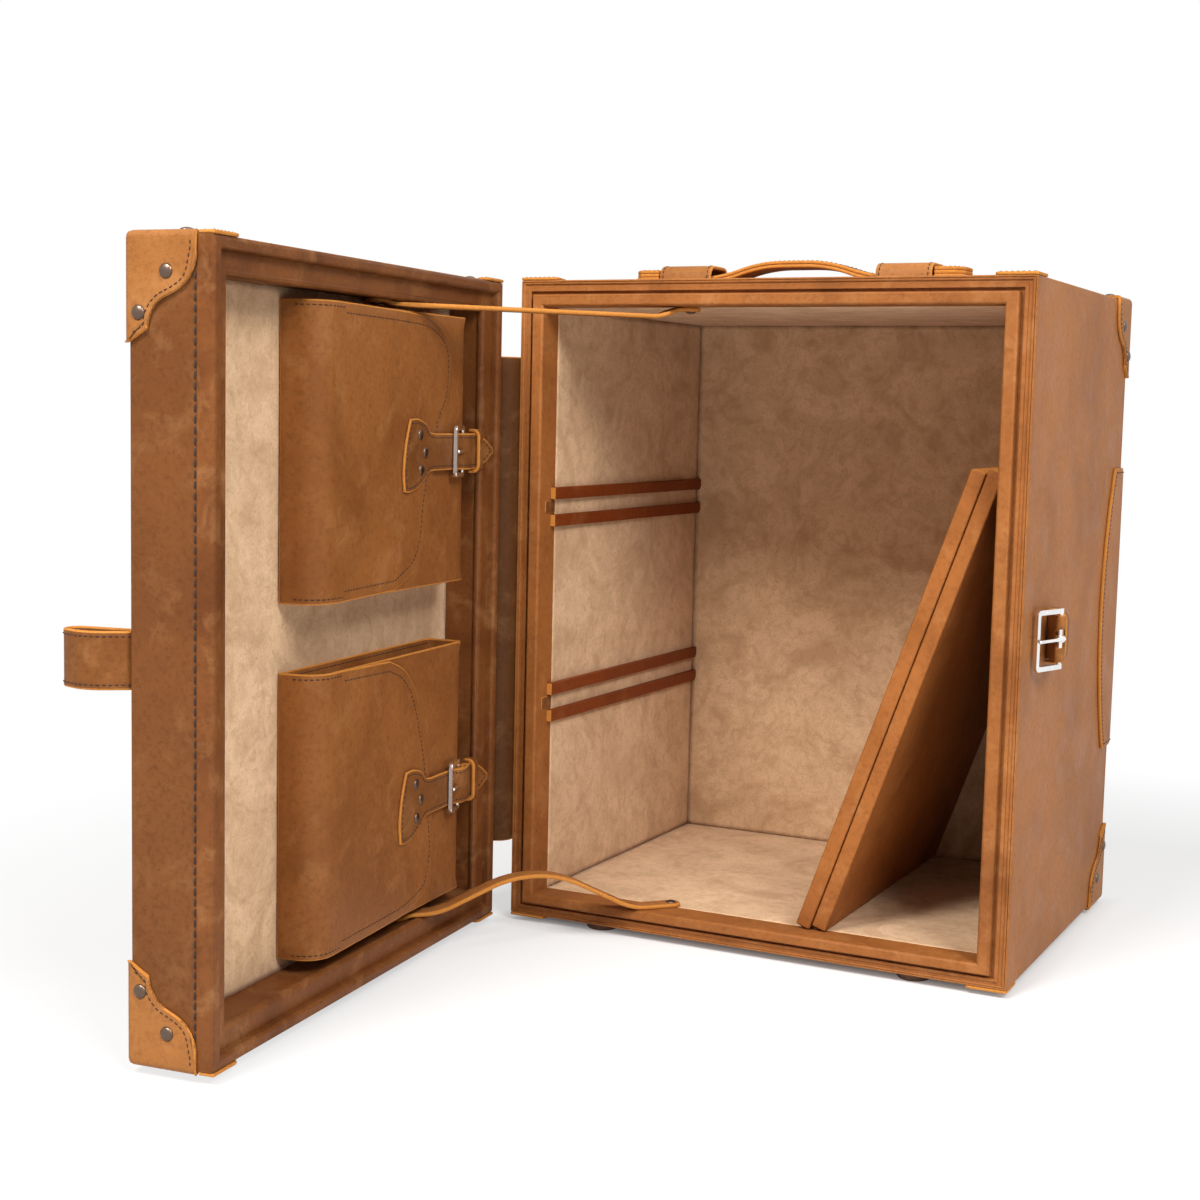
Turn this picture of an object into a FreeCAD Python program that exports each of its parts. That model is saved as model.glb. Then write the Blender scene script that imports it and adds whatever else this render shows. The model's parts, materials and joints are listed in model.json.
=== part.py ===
import FreeCAD, Part
import math
import os

# Leather trunk with a hinged door, built in millimetres, +Z up.
# The body stands behind the plane Y = 0 with its opening towards -Y.
# Its left wall starts at X = 0 and its underside is at Z = 0 until the last step,
# which moves everything so that the feet stand on Z = 0 under the middle of the part.

V = FreeCAD.Vector
os.makedirs("parts", exist_ok=True)

# Trunk body
trunk_width = 450.0
trunk_height = 560.0
body_depth = 345.0
side_wall = 24.0
top_wall = 22.5
bottom_wall = 20.0
back_wall = 11.0
leather = 2.0
suede = 1.5
clearance = 0.3

# Moulded front frame of the body, from its outer edge inwards
frame_return = 24.0
edge_bead = 4.2
edge_recess = 3.0
edge_band = 2.8
groove_width = 3.3
groove_depth = 3.0
recess_depth = 1.2
lip_proud = 4.0
lip_round = 2.0
bead_round = 1.0
band_depth = 0.3

# Door, a shallow tray hinged on the left of the body
door_depth = 65.0
door_lift = 2.0
door_top_gap = 3.0
door_gap = 2.0
door_wall = 24.0
tray_depth = 41.0
door_panel_suede = 1.5
open_angle = 84.4
hinge_offset = 11.7
hinge_setback = 3.3

# Stepped rim of the door
rim_depth = 13.5
rim_bead_width = 9.5
rim_channel_depth = 7.0
rim_channel_end = 21.0
rim_inner_bead = 2.0
rim_round = 3.0
rim_mitre_depth = 1.15

# Outside fittings
cap_thickness = 3.0
cap_width = 52.0
cap_height = 70.0
cap_reach = 60.0
cap_curve = [(1.0, 0.14), (0.91, 0.39), (0.74, 0.51), (0.47, 0.61), (0.33, 0.74), (0.29, 0.87)]
cap_rivet_marks = [(0.58, 0.34), (0.17, 0.72)]
rivet_diameter = 10.0
rivet_rise = 2.2
tab_length = 36.0
tab_width = 30.0
tab_thickness = 2.6
tab_taper = 0.8
tab_gap = 1.0
patch_thickness = 3.0
patch_bottom = 147.0
patch_top = 407.0
patch_reach = 66.0
patch_end_reach = 34.0
foot_diameter = 28.0
foot_height = 7.0
foot_side_inset = 82.0
foot_end_inset = 22.0
foot_chamfer = 1.2

# Hinge strip
strip_thickness = 2.5
strip_inset = 66.0
strip_overlap = 34.0
strip_bend = 14.0

# Stay straps between the door and the body
stay_width = 16.0
stay_thickness = 3.5
stay_rivet_diameter = 8.0
stay_bend = 40.0
stay_step_bend = 6.0
stay_end = 8.0
upper_stay_door = (180.0, 28.0)
upper_stay_body = (150.0, 26.0)
lower_stay_door = (138.0, 28.0)
lower_stay_body = (146.0, 26.0)
stay_rise = 26.0
stay_rise_marks = (0.15, 0.40, 0.57, 0.85)
stay_foot_bend = 60.0
stay_crown_bend = 96.0
stay_flat = 6.0
stay_step = 12.8
stay_drop_start = 32.0
stay_drop_end = 14.0
stay_clearance = 0.6

# Shelf rails and the two loose shelf boards
rail_height = 10.5
rail_thickness = 5.0
rail_start = 16.0
rail_chamfer = 4.0
slot_height = 13.5
upper_slot = 364.0
lower_slot = 190.0
board_thickness = 12.5
board_length = 409.0
board_front = 16.0
board_lean = 19.1
board_gap = 0.9

# Carrying handle
handle_back = 82.0
handle_length = 296.0
handle_width = 30.0
handle_thickness = 6.0
handle_arch = 13.0
handle_bend = 60.0
handle_crown = 0.45
loop_length = 48.0
loop_centre = 98.0
loop_height = 16.0
loop_leather = 3.0
loop_flange = 9.0
loop_side_gap = 2.0
pad_gap = 1.5
pad_width = 38.0
pad_thickness = 12.0
pad_point = 7.0
pad_overlap = 2.0
loop_lead = 6.0
loop_foot_bend = 2.4
loop_top_bend = 8.0

# Closing strap on the door and its buckle on the right wall
closing_width = 40.0
closing_height = 276.0
closing_thickness = 3.0
closing_start = 250.0
closing_reach = 54.0
closing_inset = 6.0
closing_bulge = 17.0
closing_tip = 13.0
closing_tail = 12.0
closing_keeper_at = 400.0
closing_keeper_width = 14.0
keeper_leather = 2.5
keeper_bend = 1.6
side_bar_distance = 34.0
side_heel_back = 62.0
side_heel_out = 15.0
side_end_out = 4.6
closing_crown = 6.8
closing_dip = 2.0
closing_root_bend = 10.0
closing_far_bend = 25.0
closing_turn_bend = 7.8
closing_return = 10.4
closing_return_bend = 5.0
closing_rivet_inset = 14.0
closing_rivet_spread = 10.0
side_slack = 1.0
side_landing = 22.0
side_tail = 46.0
side_keeper_rise = 14.5
side_keeper_start = 14.0
side_keeper_end = 24.0
side_keeper_bend = 9.0

# Buckle parts
frame_plate = 3.0
frame_bar = 4.0
frame_inner_round = 1.5
heel_bar_diameter = 3.6
prong_diameter = 3.0
prong_ring_wall = 1.6
prong_ring_width = 5.0
prong_slot = 1.0
prong_swing_room = 3.6
chape_leather = 2.0
chape_nose = 0.8
keeper_gap = 0.3

# Door pockets
pocket_hinge_side = 58.0
pocket_mouth = 303.0
pocket_face = 6.3
pocket_leather = 2.5
pocket_corner = 5.0
pocket_end_gap = 33.0
mouth_setback = 2.0
flap_leather = 2.5
flap_bend = 18.0
upper_pocket_height = 220.0
lower_pocket_height = 214.0
lower_pocket_gap = 36.0
pocket_strap_width = 30.0
pocket_strap_thickness = 2.5
pocket_bar_distance = 19.5
pocket_heel = 74.0
pocket_tail = 27.0
pocket_rivet_diameter = 9.0
pocket_rivet_rise = 1.8
fishtail_rivet_marks = [(151.0, 14.0), (144.0, 0.0), (153.0, -14.0)]
opening_slack = 5.0
chape_slack = 1.0
pocket_landing = 15.0
pocket_chape_tail = 36.0
keeper_near = 20.0
keeper_far = 29.0
strap_bar_lead = 3.0
strap_dip = 0.6
strap_keeper_lead = 13.0
strap_keeper_room = 3.0
strap_tail_lift = 5.0
strap_bends = [10.0, 8.0, 10.0, 8.0, 14.0]
tail_point = 12.0
tail_round = 3.0
tail_round_width = 8.25
fishtail_notch = 4.0
fishtail_straight = 18.0
fishtail_narrowing = 2.0
fishtail_flare = 5.0
prong_hole_gap = 0.8
upper_strap_height = 413.0
lower_strap_height = 131.0
fishtail_height = 50.0
fishtail_end = 166.0
fishtail_root = 134.0
flap_end_room = 5.0
flap_root_room = 10.0


def unit(vector):
    return V(vector).normalize()


def block(x0, x1, y0, y1, z0, z1):
    """A box between two corners."""
    return Part.makeBox(x1 - x0, y1 - y0, z1 - z0, V(x0, y0, z0))


def outline_face(path, place):
    """A face from a 2D path; an item with two points is an arc through its first to its second."""
    edges = []
    first = place(*path[0])
    cursor = first
    for item in path[1:]:
        if isinstance(item[0], tuple):
            middle = place(*item[0])
            end = place(*item[1])
            edges.append(Part.Arc(cursor, middle, end).toShape())
        else:
            end = place(*item)
            edges.append(Part.LineSegment(cursor, end).toShape())
        cursor = end
    if (cursor - first).Length > 1e-6:
        edges.append(Part.LineSegment(cursor, first).toShape())
    return Part.Face(Part.Wire(edges))


def in_xy(x, y):
    return V(x, y, 0)


def in_xz(x, z):
    return V(x, 0, z)


def in_yz(y, z):
    return V(0, y, z)


def prism(path, place, start, end):
    """A 2D path extruded along the axis that its plane leaves out."""
    axis = V(1, 1, 1) - place(1, 1)
    face = outline_face(path, place)
    face.translate(axis * start)
    return face.extrude(axis * (end - start))


def band_path(points, bends):
    """Straight runs joined by tangent arcs: pieces of (start, middle, end, centre, side)."""
    pieces = []
    spots = [V(x, y, 0) for x, y in points]
    cursor = spots[0]
    for before, corner, after, bend in zip(spots, spots[1:], spots[2:], bends):
        come = unit(corner - before)
        go = unit(after - corner)
        side = 1.0 if come.cross(go).z > 0 else -1.0
        cut = bend * math.tan(come.getAngle(go) / 2)
        start = corner - come * cut
        end = corner + go * cut
        centre = start + V(-come.y, come.x, 0) * side * bend
        middle = centre + unit(corner - centre) * bend
        pieces.append((cursor, None, start, None, side))
        pieces.append((start, middle, end, centre, side))
        cursor = end
    pieces.append((cursor, None, spots[-1], None, 1.0))
    return pieces


def band_side(pieces, offset):
    """One side of a band, at an offset to the left of its centre line."""
    edges = []
    for start, middle, end, centre, side in pieces:
        if centre is None:
            run = unit(end - start)
            shift = V(-run.y, run.x, 0) * offset
            edges.append(Part.LineSegment(start + shift, end + shift).toShape())
        else:
            radius = (start - centre).Length
            share = (radius - side * offset) / radius
            spots = [centre + (spot - centre) * share for spot in (start, middle, end)]
            edges.append(Part.Arc(*spots).toShape())
    return edges


def band(points, bends, thickness, start, end):
    """A strip of leather seen on edge in the XY plane, extruded in Z from start to end."""
    pieces = band_path(points, bends)
    left = band_side(pieces, thickness / 2)
    right = band_side(pieces, -thickness / 2)
    caps = [Part.LineSegment(left[0].Vertexes[0].Point, right[0].Vertexes[0].Point).toShape(),
            Part.LineSegment(left[-1].Vertexes[-1].Point, right[-1].Vertexes[-1].Point).toShape()]
    wire = Part.Wire(Part.__sortEdges__(left + right + caps))
    face = Part.Face(wire)
    face.translate(V(0, 0, start))
    return face.extrude(V(0, 0, end - start))


def dome(point, direction, diameter, rise):
    """The domed head of a rivet standing on a point."""
    half = diameter / 2
    radius = (half ** 2 + rise ** 2) / (2 * rise)
    axis = unit(direction)
    low = math.degrees(math.asin((radius - rise) / radius))
    return Part.makeSphere(radius, point - axis * (radius - rise), axis, low, 90, 360)


def export(name, solids):
    """Place one node with the rest and write it."""
    nodes[name] = solids if isinstance(solids, list) else [solids]


def in_door(u, w, z=0.0):
    """A point of the closed door: u from its hinge edge, w out from its rim."""
    return V(u, -door_gap - w, z)


def door_block(u0, u1, w0, w1, z0, z1):
    return block(u0, u1, -door_gap - w1, -door_gap - w0, z0, z1)


nodes = {}
on_door = set()
hinge_axis = V(-hinge_offset, -hinge_setback, 0)
door_bottom = door_lift
door_top = trunk_height - door_top_gap
inner_left = side_wall
inner_right = trunk_width - side_wall
inner_top = trunk_height - top_wall
inner_floor = bottom_wall
inner_back = body_depth - back_wall


def framed(walls, path_of, wall_sizes, width, bottom, top, lean_in):
    """Four mitred rails round an opening: path_of(wall) gives a section (a, y) for a wall size."""
    left_wall, top_size, right_wall, bottom_size = wall_sizes
    inner = lean_in
    centre_marks = {
        "left": [(0, bottom), (left_wall * inner, bottom + bottom_size * inner),
                 (left_wall * inner, top - top_size * inner), (0, top)],
        "right": [(width, bottom), (width - right_wall * inner, bottom + bottom_size * inner),
                  (width - right_wall * inner, top - top_size * inner), (width, top)],
        "top": [(0, top), (left_wall * inner, top - top_size * inner),
                (width - right_wall * inner, top - top_size * inner), (width, top)],
        "bottom": [(0, bottom), (left_wall * inner, bottom + bottom_size * inner),
                   (width - right_wall * inner, bottom + bottom_size * inner), (width, bottom)],
    }
    reach = body_depth
    rails = []
    for name in walls:
        if name == "left":
            rail = prism(path_of(left_wall), in_xy, bottom, top)
        elif name == "right":
            rail = prism(path_of(right_wall), in_xy, bottom, top).mirror(V(width / 2, 0, 0), V(1, 0, 0))
        elif name == "top":
            rail = prism([flip(item) for item in path_of(top_size)], in_yz, 0, width)
            rail = rail.mirror(V(0, 0, 0), V(0, 0, 1))
            rail.translate(V(0, 0, top))
        else:
            rail = prism([flip(item) for item in path_of(bottom_size)], in_yz, 0, width)
            rail.translate(V(0, 0, bottom))
        mitre = prism(centre_marks[name], in_xz, -reach, reach)
        rails.append(rail.common(mitre).Solids[0])
    return rails


def flip(item):
    """Swap the two coordinates of a path item."""
    if isinstance(item[0], tuple):
        return ((item[0][1], item[0][0]), (item[1][1], item[1][0]))
    return (item[1], item[0])


def corner_arc(x, y, radius, along_in, along_out):
    """The arc item that rounds a corner met along one direction and left along another."""
    start_x = x - along_in[0] * radius
    start_y = y - along_in[1] * radius
    end_x = x + along_out[0] * radius
    end_y = y + along_out[1] * radius
    centre_x = start_x + along_out[0] * radius
    centre_y = start_y + along_out[1] * radius
    reach = radius / math.hypot(x - centre_x, y - centre_y)
    middle = (centre_x + (x - centre_x) * reach, centre_y + (y - centre_y) * reach)
    return [(start_x, start_y), (middle, (end_x, end_y))]


# Wooden carcass
side_ply = side_wall - leather - suede
back_inner = inner_back + suede
back_outer = body_depth - leather
carcass_start = frame_return
ply_bottom = bottom_wall - suede
ply_top = inner_top + suede
export("carcass_left_panel", block(leather, leather + side_ply, carcass_start, back_outer, ply_bottom, ply_top))
export("carcass_right_panel", block(trunk_width - leather - side_ply, trunk_width - leather,
                                    carcass_start, back_outer, ply_bottom, ply_top))
export("carcass_top_panel", block(leather, trunk_width - leather, carcass_start, back_outer,
                                  ply_top, trunk_height - leather))
export("carcass_bottom_panel", block(leather, trunk_width - leather, carcass_start, back_outer,
                                     leather, ply_bottom))
export("carcass_back_panel", block(leather + side_ply, trunk_width - leather - side_ply,
                                   back_inner, back_outer, ply_bottom, ply_top))

# Leather and suede skins of the body
sleeve = block(0, trunk_width, 0, back_outer, 0, trunk_height)
sleeve_bore = block(leather, trunk_width - leather, -lip_proud * 2, body_depth, leather, trunk_height - leather)
export("outer_leather_sleeve", sleeve.cut(sleeve_bore))
export("back_leather_panel", block(0, trunk_width, back_outer, body_depth, 0, trunk_height))
lining = block(inner_left - suede, inner_right + suede, frame_return, inner_back,
               inner_floor - suede, inner_top + suede)
lining_bore = block(inner_left, inner_right, 0, body_depth, inner_floor, inner_top)
export("suede_wall_lining", lining.cut(lining_bore))
export("suede_back_lining", block(inner_left - suede, inner_right + suede, inner_back, back_inner,
                                  inner_floor - suede, inner_top + suede))


def lip_section(wall):
    """Section of the front frame across one wall: (distance from the outer edge, depth)."""
    ratio = wall / side_wall
    bead = edge_bead * ratio
    recess = bead + edge_recess * ratio
    strip = recess + edge_band * ratio
    groove = strip + groove_width * ratio
    path = [(leather, frame_return), (leather, 0)]
    path += corner_arc(bead, 0, bead_round, (1, 0), (0, 1))
    path += [(bead, recess_depth), (recess, recess_depth), (recess, band_depth),
             (strip, band_depth), (strip, groove_depth), (groove, groove_depth)]
    path += corner_arc(groove, -lip_proud, lip_round, (0, -1), (1, 0))
    path += corner_arc(wall, -lip_proud, lip_round, (1, 0), (0, 1))
    path.append((wall, frame_return))
    return path


every_side = ("left", "top", "right", "bottom")
lip_rails = framed(every_side, lip_section, (side_wall, top_wall, side_wall, bottom_wall),
                   trunk_width, 0, trunk_height, 1.0)
export("front_lip_frame", [rail.common(sleeve_bore).Solids[0] for rail in lip_rails])


# Shelf rails, two pairs on each side wall
def shelf_rail(slot, upper):
    """One rail on the left wall, with its rear lower corner cut off."""
    low = slot + slot_height / 2 if upper else slot - slot_height / 2 - rail_height
    high = low + rail_height
    path = [(rail_start, low), (inner_back - rail_chamfer, low), (inner_back, low + rail_chamfer),
            (inner_back, high), (rail_start, high)]
    return prism(path, in_yz, inner_left, inner_left + rail_thickness)


left_rails = [shelf_rail(slot, upper) for slot in (upper_slot, lower_slot) for upper in (True, False)]
export("left_shelf_rails", left_rails)
export("right_shelf_rails", [rail.mirror(V(trunk_width / 2, 0, 0), V(1, 0, 0)) for rail in left_rails])

# Shelf boards, stood on the floor and leant on the right wall
lean = math.radians(board_lean)
along = V(math.sin(lean), 0, math.cos(lean))
across = V(math.cos(lean), 0, -math.sin(lean))


def shelf_board(foot_x):
    """A board whose lowest edge stands at foot_x, just off the floor."""
    foot = V(foot_x, board_front, inner_floor + clearance)
    corners = [foot, foot - across * board_thickness,
               foot - across * board_thickness + along * board_length, foot + along * board_length]
    face = Part.Face(Part.makePolygon(corners + [corners[0]]))
    return face.extrude(V(0, inner_back - clearance - board_front, 0))


right_foot = inner_right - clearance - board_length * math.sin(lean)
left_foot = right_foot - (board_thickness + board_gap) / math.cos(lean)
export("right_shelf_board", shelf_board(right_foot))
export("left_shelf_board", shelf_board(left_foot))


def cap_face(wide, tall, place, normal):
    """One leather face of a cap, as thick as the leather and reaching round both edges."""
    spots = [place(wide * across_share, tall * up_share) for across_share, up_share in cap_curve]
    curve = Part.BSplineCurve()
    curve.interpolate(spots)
    over = -cap_thickness
    runs = [place(0, tall), place(over, tall), place(over, over), place(wide, over)]
    edges = [curve.toShape()]
    cursor = spots[-1]
    for spot in runs + [spots[0]]:
        edges.append(Part.LineSegment(cursor, spot).toShape())
        cursor = spot
    return Part.Face(Part.Wire(edges)).extrude(normal * -cap_thickness)


def corner_cap():
    """A cap over a corner at the origin of a box that fills +X, +Y, +Z."""
    side = cap_face(cap_width, cap_height, in_yz, V(1, 0, 0))
    front = cap_face(cap_reach, cap_height, in_xz, V(0, 1, 0))
    top = cap_face(cap_reach, cap_width, in_xy, V(0, 0, 1))
    return side.multiFuse([front, top]).removeSplitter().Solids[0]


def cap_rivets():
    """Two rivets on each face of the same cap."""
    heads = []
    for a, b in cap_rivet_marks:
        heads.append(dome(V(-cap_thickness, cap_width * a, cap_height * b), V(-1, 0, 0),
                          rivet_diameter, rivet_rise))
        heads.append(dome(V(cap_reach * a, -cap_thickness, cap_height * b), V(0, -1, 0),
                          rivet_diameter, rivet_rise))
        heads.append(dome(V(cap_reach * a, cap_width * b, -cap_thickness), V(0, 0, -1),
                          rivet_diameter, rivet_rise))
    return heads


def at_corner(shape, corner, signs):
    """Mirror a shape made for the first octant into the octant of a corner and move it there."""
    for sign, axis in zip(signs, (V(1, 0, 0), V(0, 1, 0), V(0, 0, 1))):
        if sign < 0:
            shape = shape.mirror(V(0, 0, 0), axis)
    shape = shape.copy()
    shape.translate(corner)
    return shape


def corner_set(shapes, y, y_sign, bottom, top):
    """Copies of shapes at the four corners of the face at y."""
    copies = []
    for x, x_sign in ((0, 1), (trunk_width, -1)):
        for z, z_sign in ((bottom, 1), (top, -1)):
            copies += [at_corner(shape, V(x, y, z), (x_sign, y_sign, z_sign)) for shape in shapes]
    return copies


export("rear_corner_caps", corner_set([corner_cap()], body_depth, -1, 0, trunk_height))
export("rear_cap_rivets", corner_set(cap_rivets(), body_depth, -1, 0, trunk_height))


def rim_tab(width):
    """A thin strengthening tab that lies along a corner of a rim, outside the box."""
    path = [(0, 0), (tab_length, 0), (tab_length * tab_taper, width), (0, width)]
    return prism(path, in_xy, -tab_thickness, 0)


export("front_corner_tabs", corner_set([rim_tab(tab_width)], 0, 1, 0, trunk_height))

# Patch round the rear right edge of the body
side_back = body_depth + patch_thickness
side_path = [(side_back, patch_bottom), (body_depth - patch_end_reach, patch_bottom),
             ((body_depth - patch_reach, (patch_bottom + patch_top) / 2),
              (body_depth - patch_end_reach, patch_top)), (side_back, patch_top)]
patch_side = prism(side_path, in_yz, trunk_width, trunk_width + patch_thickness)
side_edge = trunk_width + patch_thickness
back_path = [(side_edge, patch_bottom), (trunk_width - patch_end_reach, patch_bottom),
             ((trunk_width - patch_reach, (patch_bottom + patch_top) / 2),
              (trunk_width - patch_end_reach, patch_top)), (side_edge, patch_top)]
patch_back = prism(back_path, in_xz, body_depth, side_back)
export("rear_edge_patch", patch_side.fuse(patch_back).removeSplitter().Solids[0])

# Feet
foot_spots = [(x, y) for x in (foot_side_inset, trunk_width - foot_side_inset)
              for y in (foot_end_inset, body_depth - foot_end_inset)]
feet = []
for x, y in foot_spots:
    stud = Part.makeCylinder(foot_diameter / 2, foot_height, V(x, y, -foot_height))
    sole = [edge for edge in stud.Edges if edge.BoundBox.ZMax < -foot_height / 2]
    feet.append(stud.makeChamfer(foot_chamfer, sole))
export("feet", feet)

# Hinge strip, flat on the left wall, bent round to the hinge wall of the open door
open_turn = math.radians(open_angle)
door_u = V(math.cos(open_turn), -math.sin(open_turn), 0)
door_w = V(-math.sin(open_turn), -math.cos(open_turn), 0)
door_corner = hinge_axis + door_u * hinge_offset + door_w * (door_gap - hinge_setback)
half_strip = strip_thickness / 2
body_end = (-half_strip, strip_overlap)
door_line = door_corner - door_u * half_strip
door_far = door_line + door_w * strip_overlap
crossing = (-half_strip - door_line.x) / door_w.x
meeting = door_line + door_w * crossing
export("hinge_strip", band([body_end, (meeting.x, meeting.y), (door_far.x, door_far.y)], [strip_bend],
                           strip_thickness, strip_inset, trunk_height - strip_inset))


# Stay straps, which are fixed in the door tray and just inside the body
def stay_strap(door_spot, body_spot, door_z, body_z, rim_z, rise):
    """A strap on edge along its own line: it starts on the tray wall and ends on the body wall."""
    u, w = door_spot
    start = door_corner + door_u * u + door_w * w
    finish = V(body_spot[0], body_spot[1], 0)
    run = finish - start
    length = run.Length
    turn = math.degrees(math.atan2(run.y, run.x))
    points = [(-stay_end, door_z), (stay_flat, door_z), (stay_step, rim_z)]
    bends = [stay_step_bend, stay_step_bend]
    if rise > 0:
        levels = (rim_z, rim_z + rise, rim_z + rise, body_z)
        points += [(length * mark, level) for mark, level in zip(stay_rise_marks, levels)]
        bends += [stay_foot_bend, stay_crown_bend, stay_crown_bend, stay_foot_bend]
    else:
        points += [(length - stay_drop_start, rim_z), (length - stay_drop_end, body_z)]
        bends += [stay_bend, stay_bend]
    points.append((length + stay_end, body_z))
    strap = band(points, bends, stay_thickness, -stay_width / 2, stay_width / 2)
    strap.rotate(V(0, 0, 0), V(1, 0, 0), 90)
    strap.rotate(V(0, 0, 0), V(0, 0, 1), turn)
    strap.translate(start)
    return strap, start, finish


half_stay = stay_thickness / 2
upper_stay, upper_stay_start, upper_stay_end = stay_strap(
    upper_stay_door, upper_stay_body, door_top - door_wall - half_stay, inner_top - half_stay,
    door_top - door_wall - rim_inner_bead - stay_clearance - half_stay, 0)
lower_stay, lower_stay_start, lower_stay_end = stay_strap(
    lower_stay_door, lower_stay_body, door_bottom + door_wall + half_stay, inner_floor + half_stay,
    door_bottom + door_wall + rim_inner_bead + stay_clearance + half_stay, stay_rise)
export("upper_stay_strap", upper_stay)
export("lower_stay_strap", lower_stay)
upper_face = V(0, 0, inner_top - stay_thickness)
lower_face = V(0, 0, inner_floor + stay_thickness)
export("stay_body_rivets", [
    dome(upper_stay_end + upper_face, V(0, 0, -1), stay_rivet_diameter, pocket_rivet_rise),
    dome(lower_stay_end + lower_face, V(0, 0, 1), stay_rivet_diameter, pocket_rivet_rise)])
export("stay_door_rivets", [
    dome(upper_stay_start + V(0, 0, door_top - door_wall - stay_thickness), V(0, 0, -1),
         stay_rivet_diameter, pocket_rivet_rise),
    dome(lower_stay_start + V(0, 0, door_bottom + door_wall + stay_thickness), V(0, 0, 1),
         stay_rivet_diameter, pocket_rivet_rise)])

# Carrying handle: a strap under two loops, with a thick pad past each loop
handle_x = trunk_width / 2
pad_end = handle_length / 2
loop_end = loop_centre + loop_length / 2
strap_low = clearance + handle_thickness / 2
strap_high = handle_arch + handle_thickness / 2
flat_end = loop_centre - loop_length / 2 - loop_lead
crown_end = flat_end * handle_crown
strap_end = pad_end - pad_overlap
arch_points = [(-strap_end, strap_low), (-flat_end, strap_low), (-crown_end, strap_high),
               (crown_end, strap_high), (flat_end, strap_low), (strap_end, strap_low)]
arch = band(arch_points, [handle_bend] * 4, handle_thickness, -handle_width / 2, handle_width / 2)
arch.rotate(V(0, 0, 0), V(1, 0, 0), 90)
half_pad = pad_width / 2
pads = []
for sign in (-1, 1):
    inner_x = sign * (loop_end + pad_gap)
    outer_x = sign * pad_end
    point_x = outer_x - sign * pad_point
    pads.append(prism([(inner_x, -half_pad), (point_x, -half_pad), (outer_x, -half_pad / 2),
                       (outer_x, half_pad / 2), (point_x, half_pad), (inner_x, half_pad)],
                      in_xy, clearance, clearance + pad_thickness))
handle = arch.multiFuse(pads).removeSplitter().Solids[0]
handle_place = V(handle_x, handle_back, trunk_height)
handle.translate(handle_place)
export("handle_strap", handle)

loop_half = handle_width / 2 + loop_side_gap + loop_leather / 2
loop_line = [(-loop_half - loop_flange, loop_leather / 2), (-loop_half, loop_leather / 2),
             (-loop_half, loop_height - loop_leather / 2), (loop_half, loop_height - loop_leather / 2),
             (loop_half, loop_leather / 2), (loop_half + loop_flange, loop_leather / 2)]
loop_bends = [loop_foot_bend, loop_top_bend, loop_top_bend, loop_foot_bend]
for name, sign in (("left_handle_loop", -1), ("right_handle_loop", 1)):
    loop = band(loop_line, loop_bends, loop_leather, -loop_length / 2, loop_length / 2)
    loop.rotate(V(0, 0, 0), V(1, 1, 1), 120)
    loop.translate(handle_place + V(sign * loop_centre, 0, 0))
    export(name, loop)


# Buckles. In their own frame +X runs from the bars to the tail, +Y stands out from the
# leather and the heel bar lies along Z at X = 0.
def buckle_frame(opening, distance, heel_out, end_out):
    """A flat three-sided plate with a round heel bar, tilted about that bar."""
    half = opening / 2
    outer = half + frame_bar
    far = -distance - frame_bar / 2
    near = heel_bar_diameter / 2
    path = [(near, half), (near, outer)]
    path += corner_arc(far, outer, frame_bar, (-1, 0), (0, -1))
    path += corner_arc(far, -outer, frame_bar, (0, -1), (1, 0))
    path += [(near, -outer), (near, -half)]
    path += corner_arc(-distance + frame_bar / 2, -half, frame_inner_round, (-1, 0), (0, 1))
    path += corner_arc(-distance + frame_bar / 2, half, frame_inner_round, (0, 1), (1, 0))
    plate = prism(path, in_xz, -frame_plate / 2, frame_plate / 2)
    bar = Part.makeCylinder(heel_bar_diameter / 2, opening + frame_bar, V(0, 0, -half - frame_bar / 2))
    shape = plate.fuse(bar).removeSplitter().Solids[0]
    tilt = math.degrees(math.asin((end_out - heel_out) / distance))
    shape.rotate(V(0, 0, 0), V(0, 0, 1), -tilt)
    shape.translate(V(0, heel_out, 0))
    return shape


def buckle_prong(distance, heel_out, end_out):
    """A ring round the heel bar and a finger that lies on the end bar."""
    inner = heel_bar_diameter / 2 + clearance
    outer = inner + prong_ring_wall
    half_width = prong_ring_width / 2
    ring = Part.makeCylinder(outer, prong_ring_width, V(0, heel_out, -half_width))
    start = V(0, heel_out + inner + prong_diameter / 2, 0)
    tip = V(-distance - frame_bar / 2, end_out + frame_plate / 2 + clearance * 2 + prong_diameter / 2, 0)
    finger = Part.makeCylinder(prong_diameter / 2, (tip - start).Length, start, tip - start)
    end = Part.makeSphere(prong_diameter / 2, tip)
    bore = Part.makeCylinder(inner, prong_ring_width * 2, V(0, heel_out, -prong_ring_width))
    return ring.multiFuse([finger, end]).cut(bore).removeSplitter().Solids[0]


def buckle_chape(width, heel_out, landing, tail):
    """The leather that turns round the heel bar and is sewn down behind it."""
    bore = heel_bar_diameter / 2 + clearance
    wrap = bore + chape_leather
    half = width / 2
    flat = chape_leather * 2
    path = [(0, heel_out + wrap), (landing, flat), (tail, flat), (tail, 0), (landing * chape_nose, 0),
            (0, heel_out - wrap), ((-wrap, heel_out), (0, heel_out + wrap))]
    body = prism(path, in_xy, -half, half)
    hole = Part.makeCylinder(bore, width * 2, V(0, heel_out, -width))
    slot_half = prong_ring_width / 2 + prong_slot
    slot_end = heel_bar_diameter / 2 + clearance + prong_ring_wall + prong_swing_room
    slot = block(-wrap * 2, slot_end, -1, heel_out + wrap * 2, -slot_half, slot_half)
    return body.cut(hole).cut(slot).Solids[0]


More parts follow.
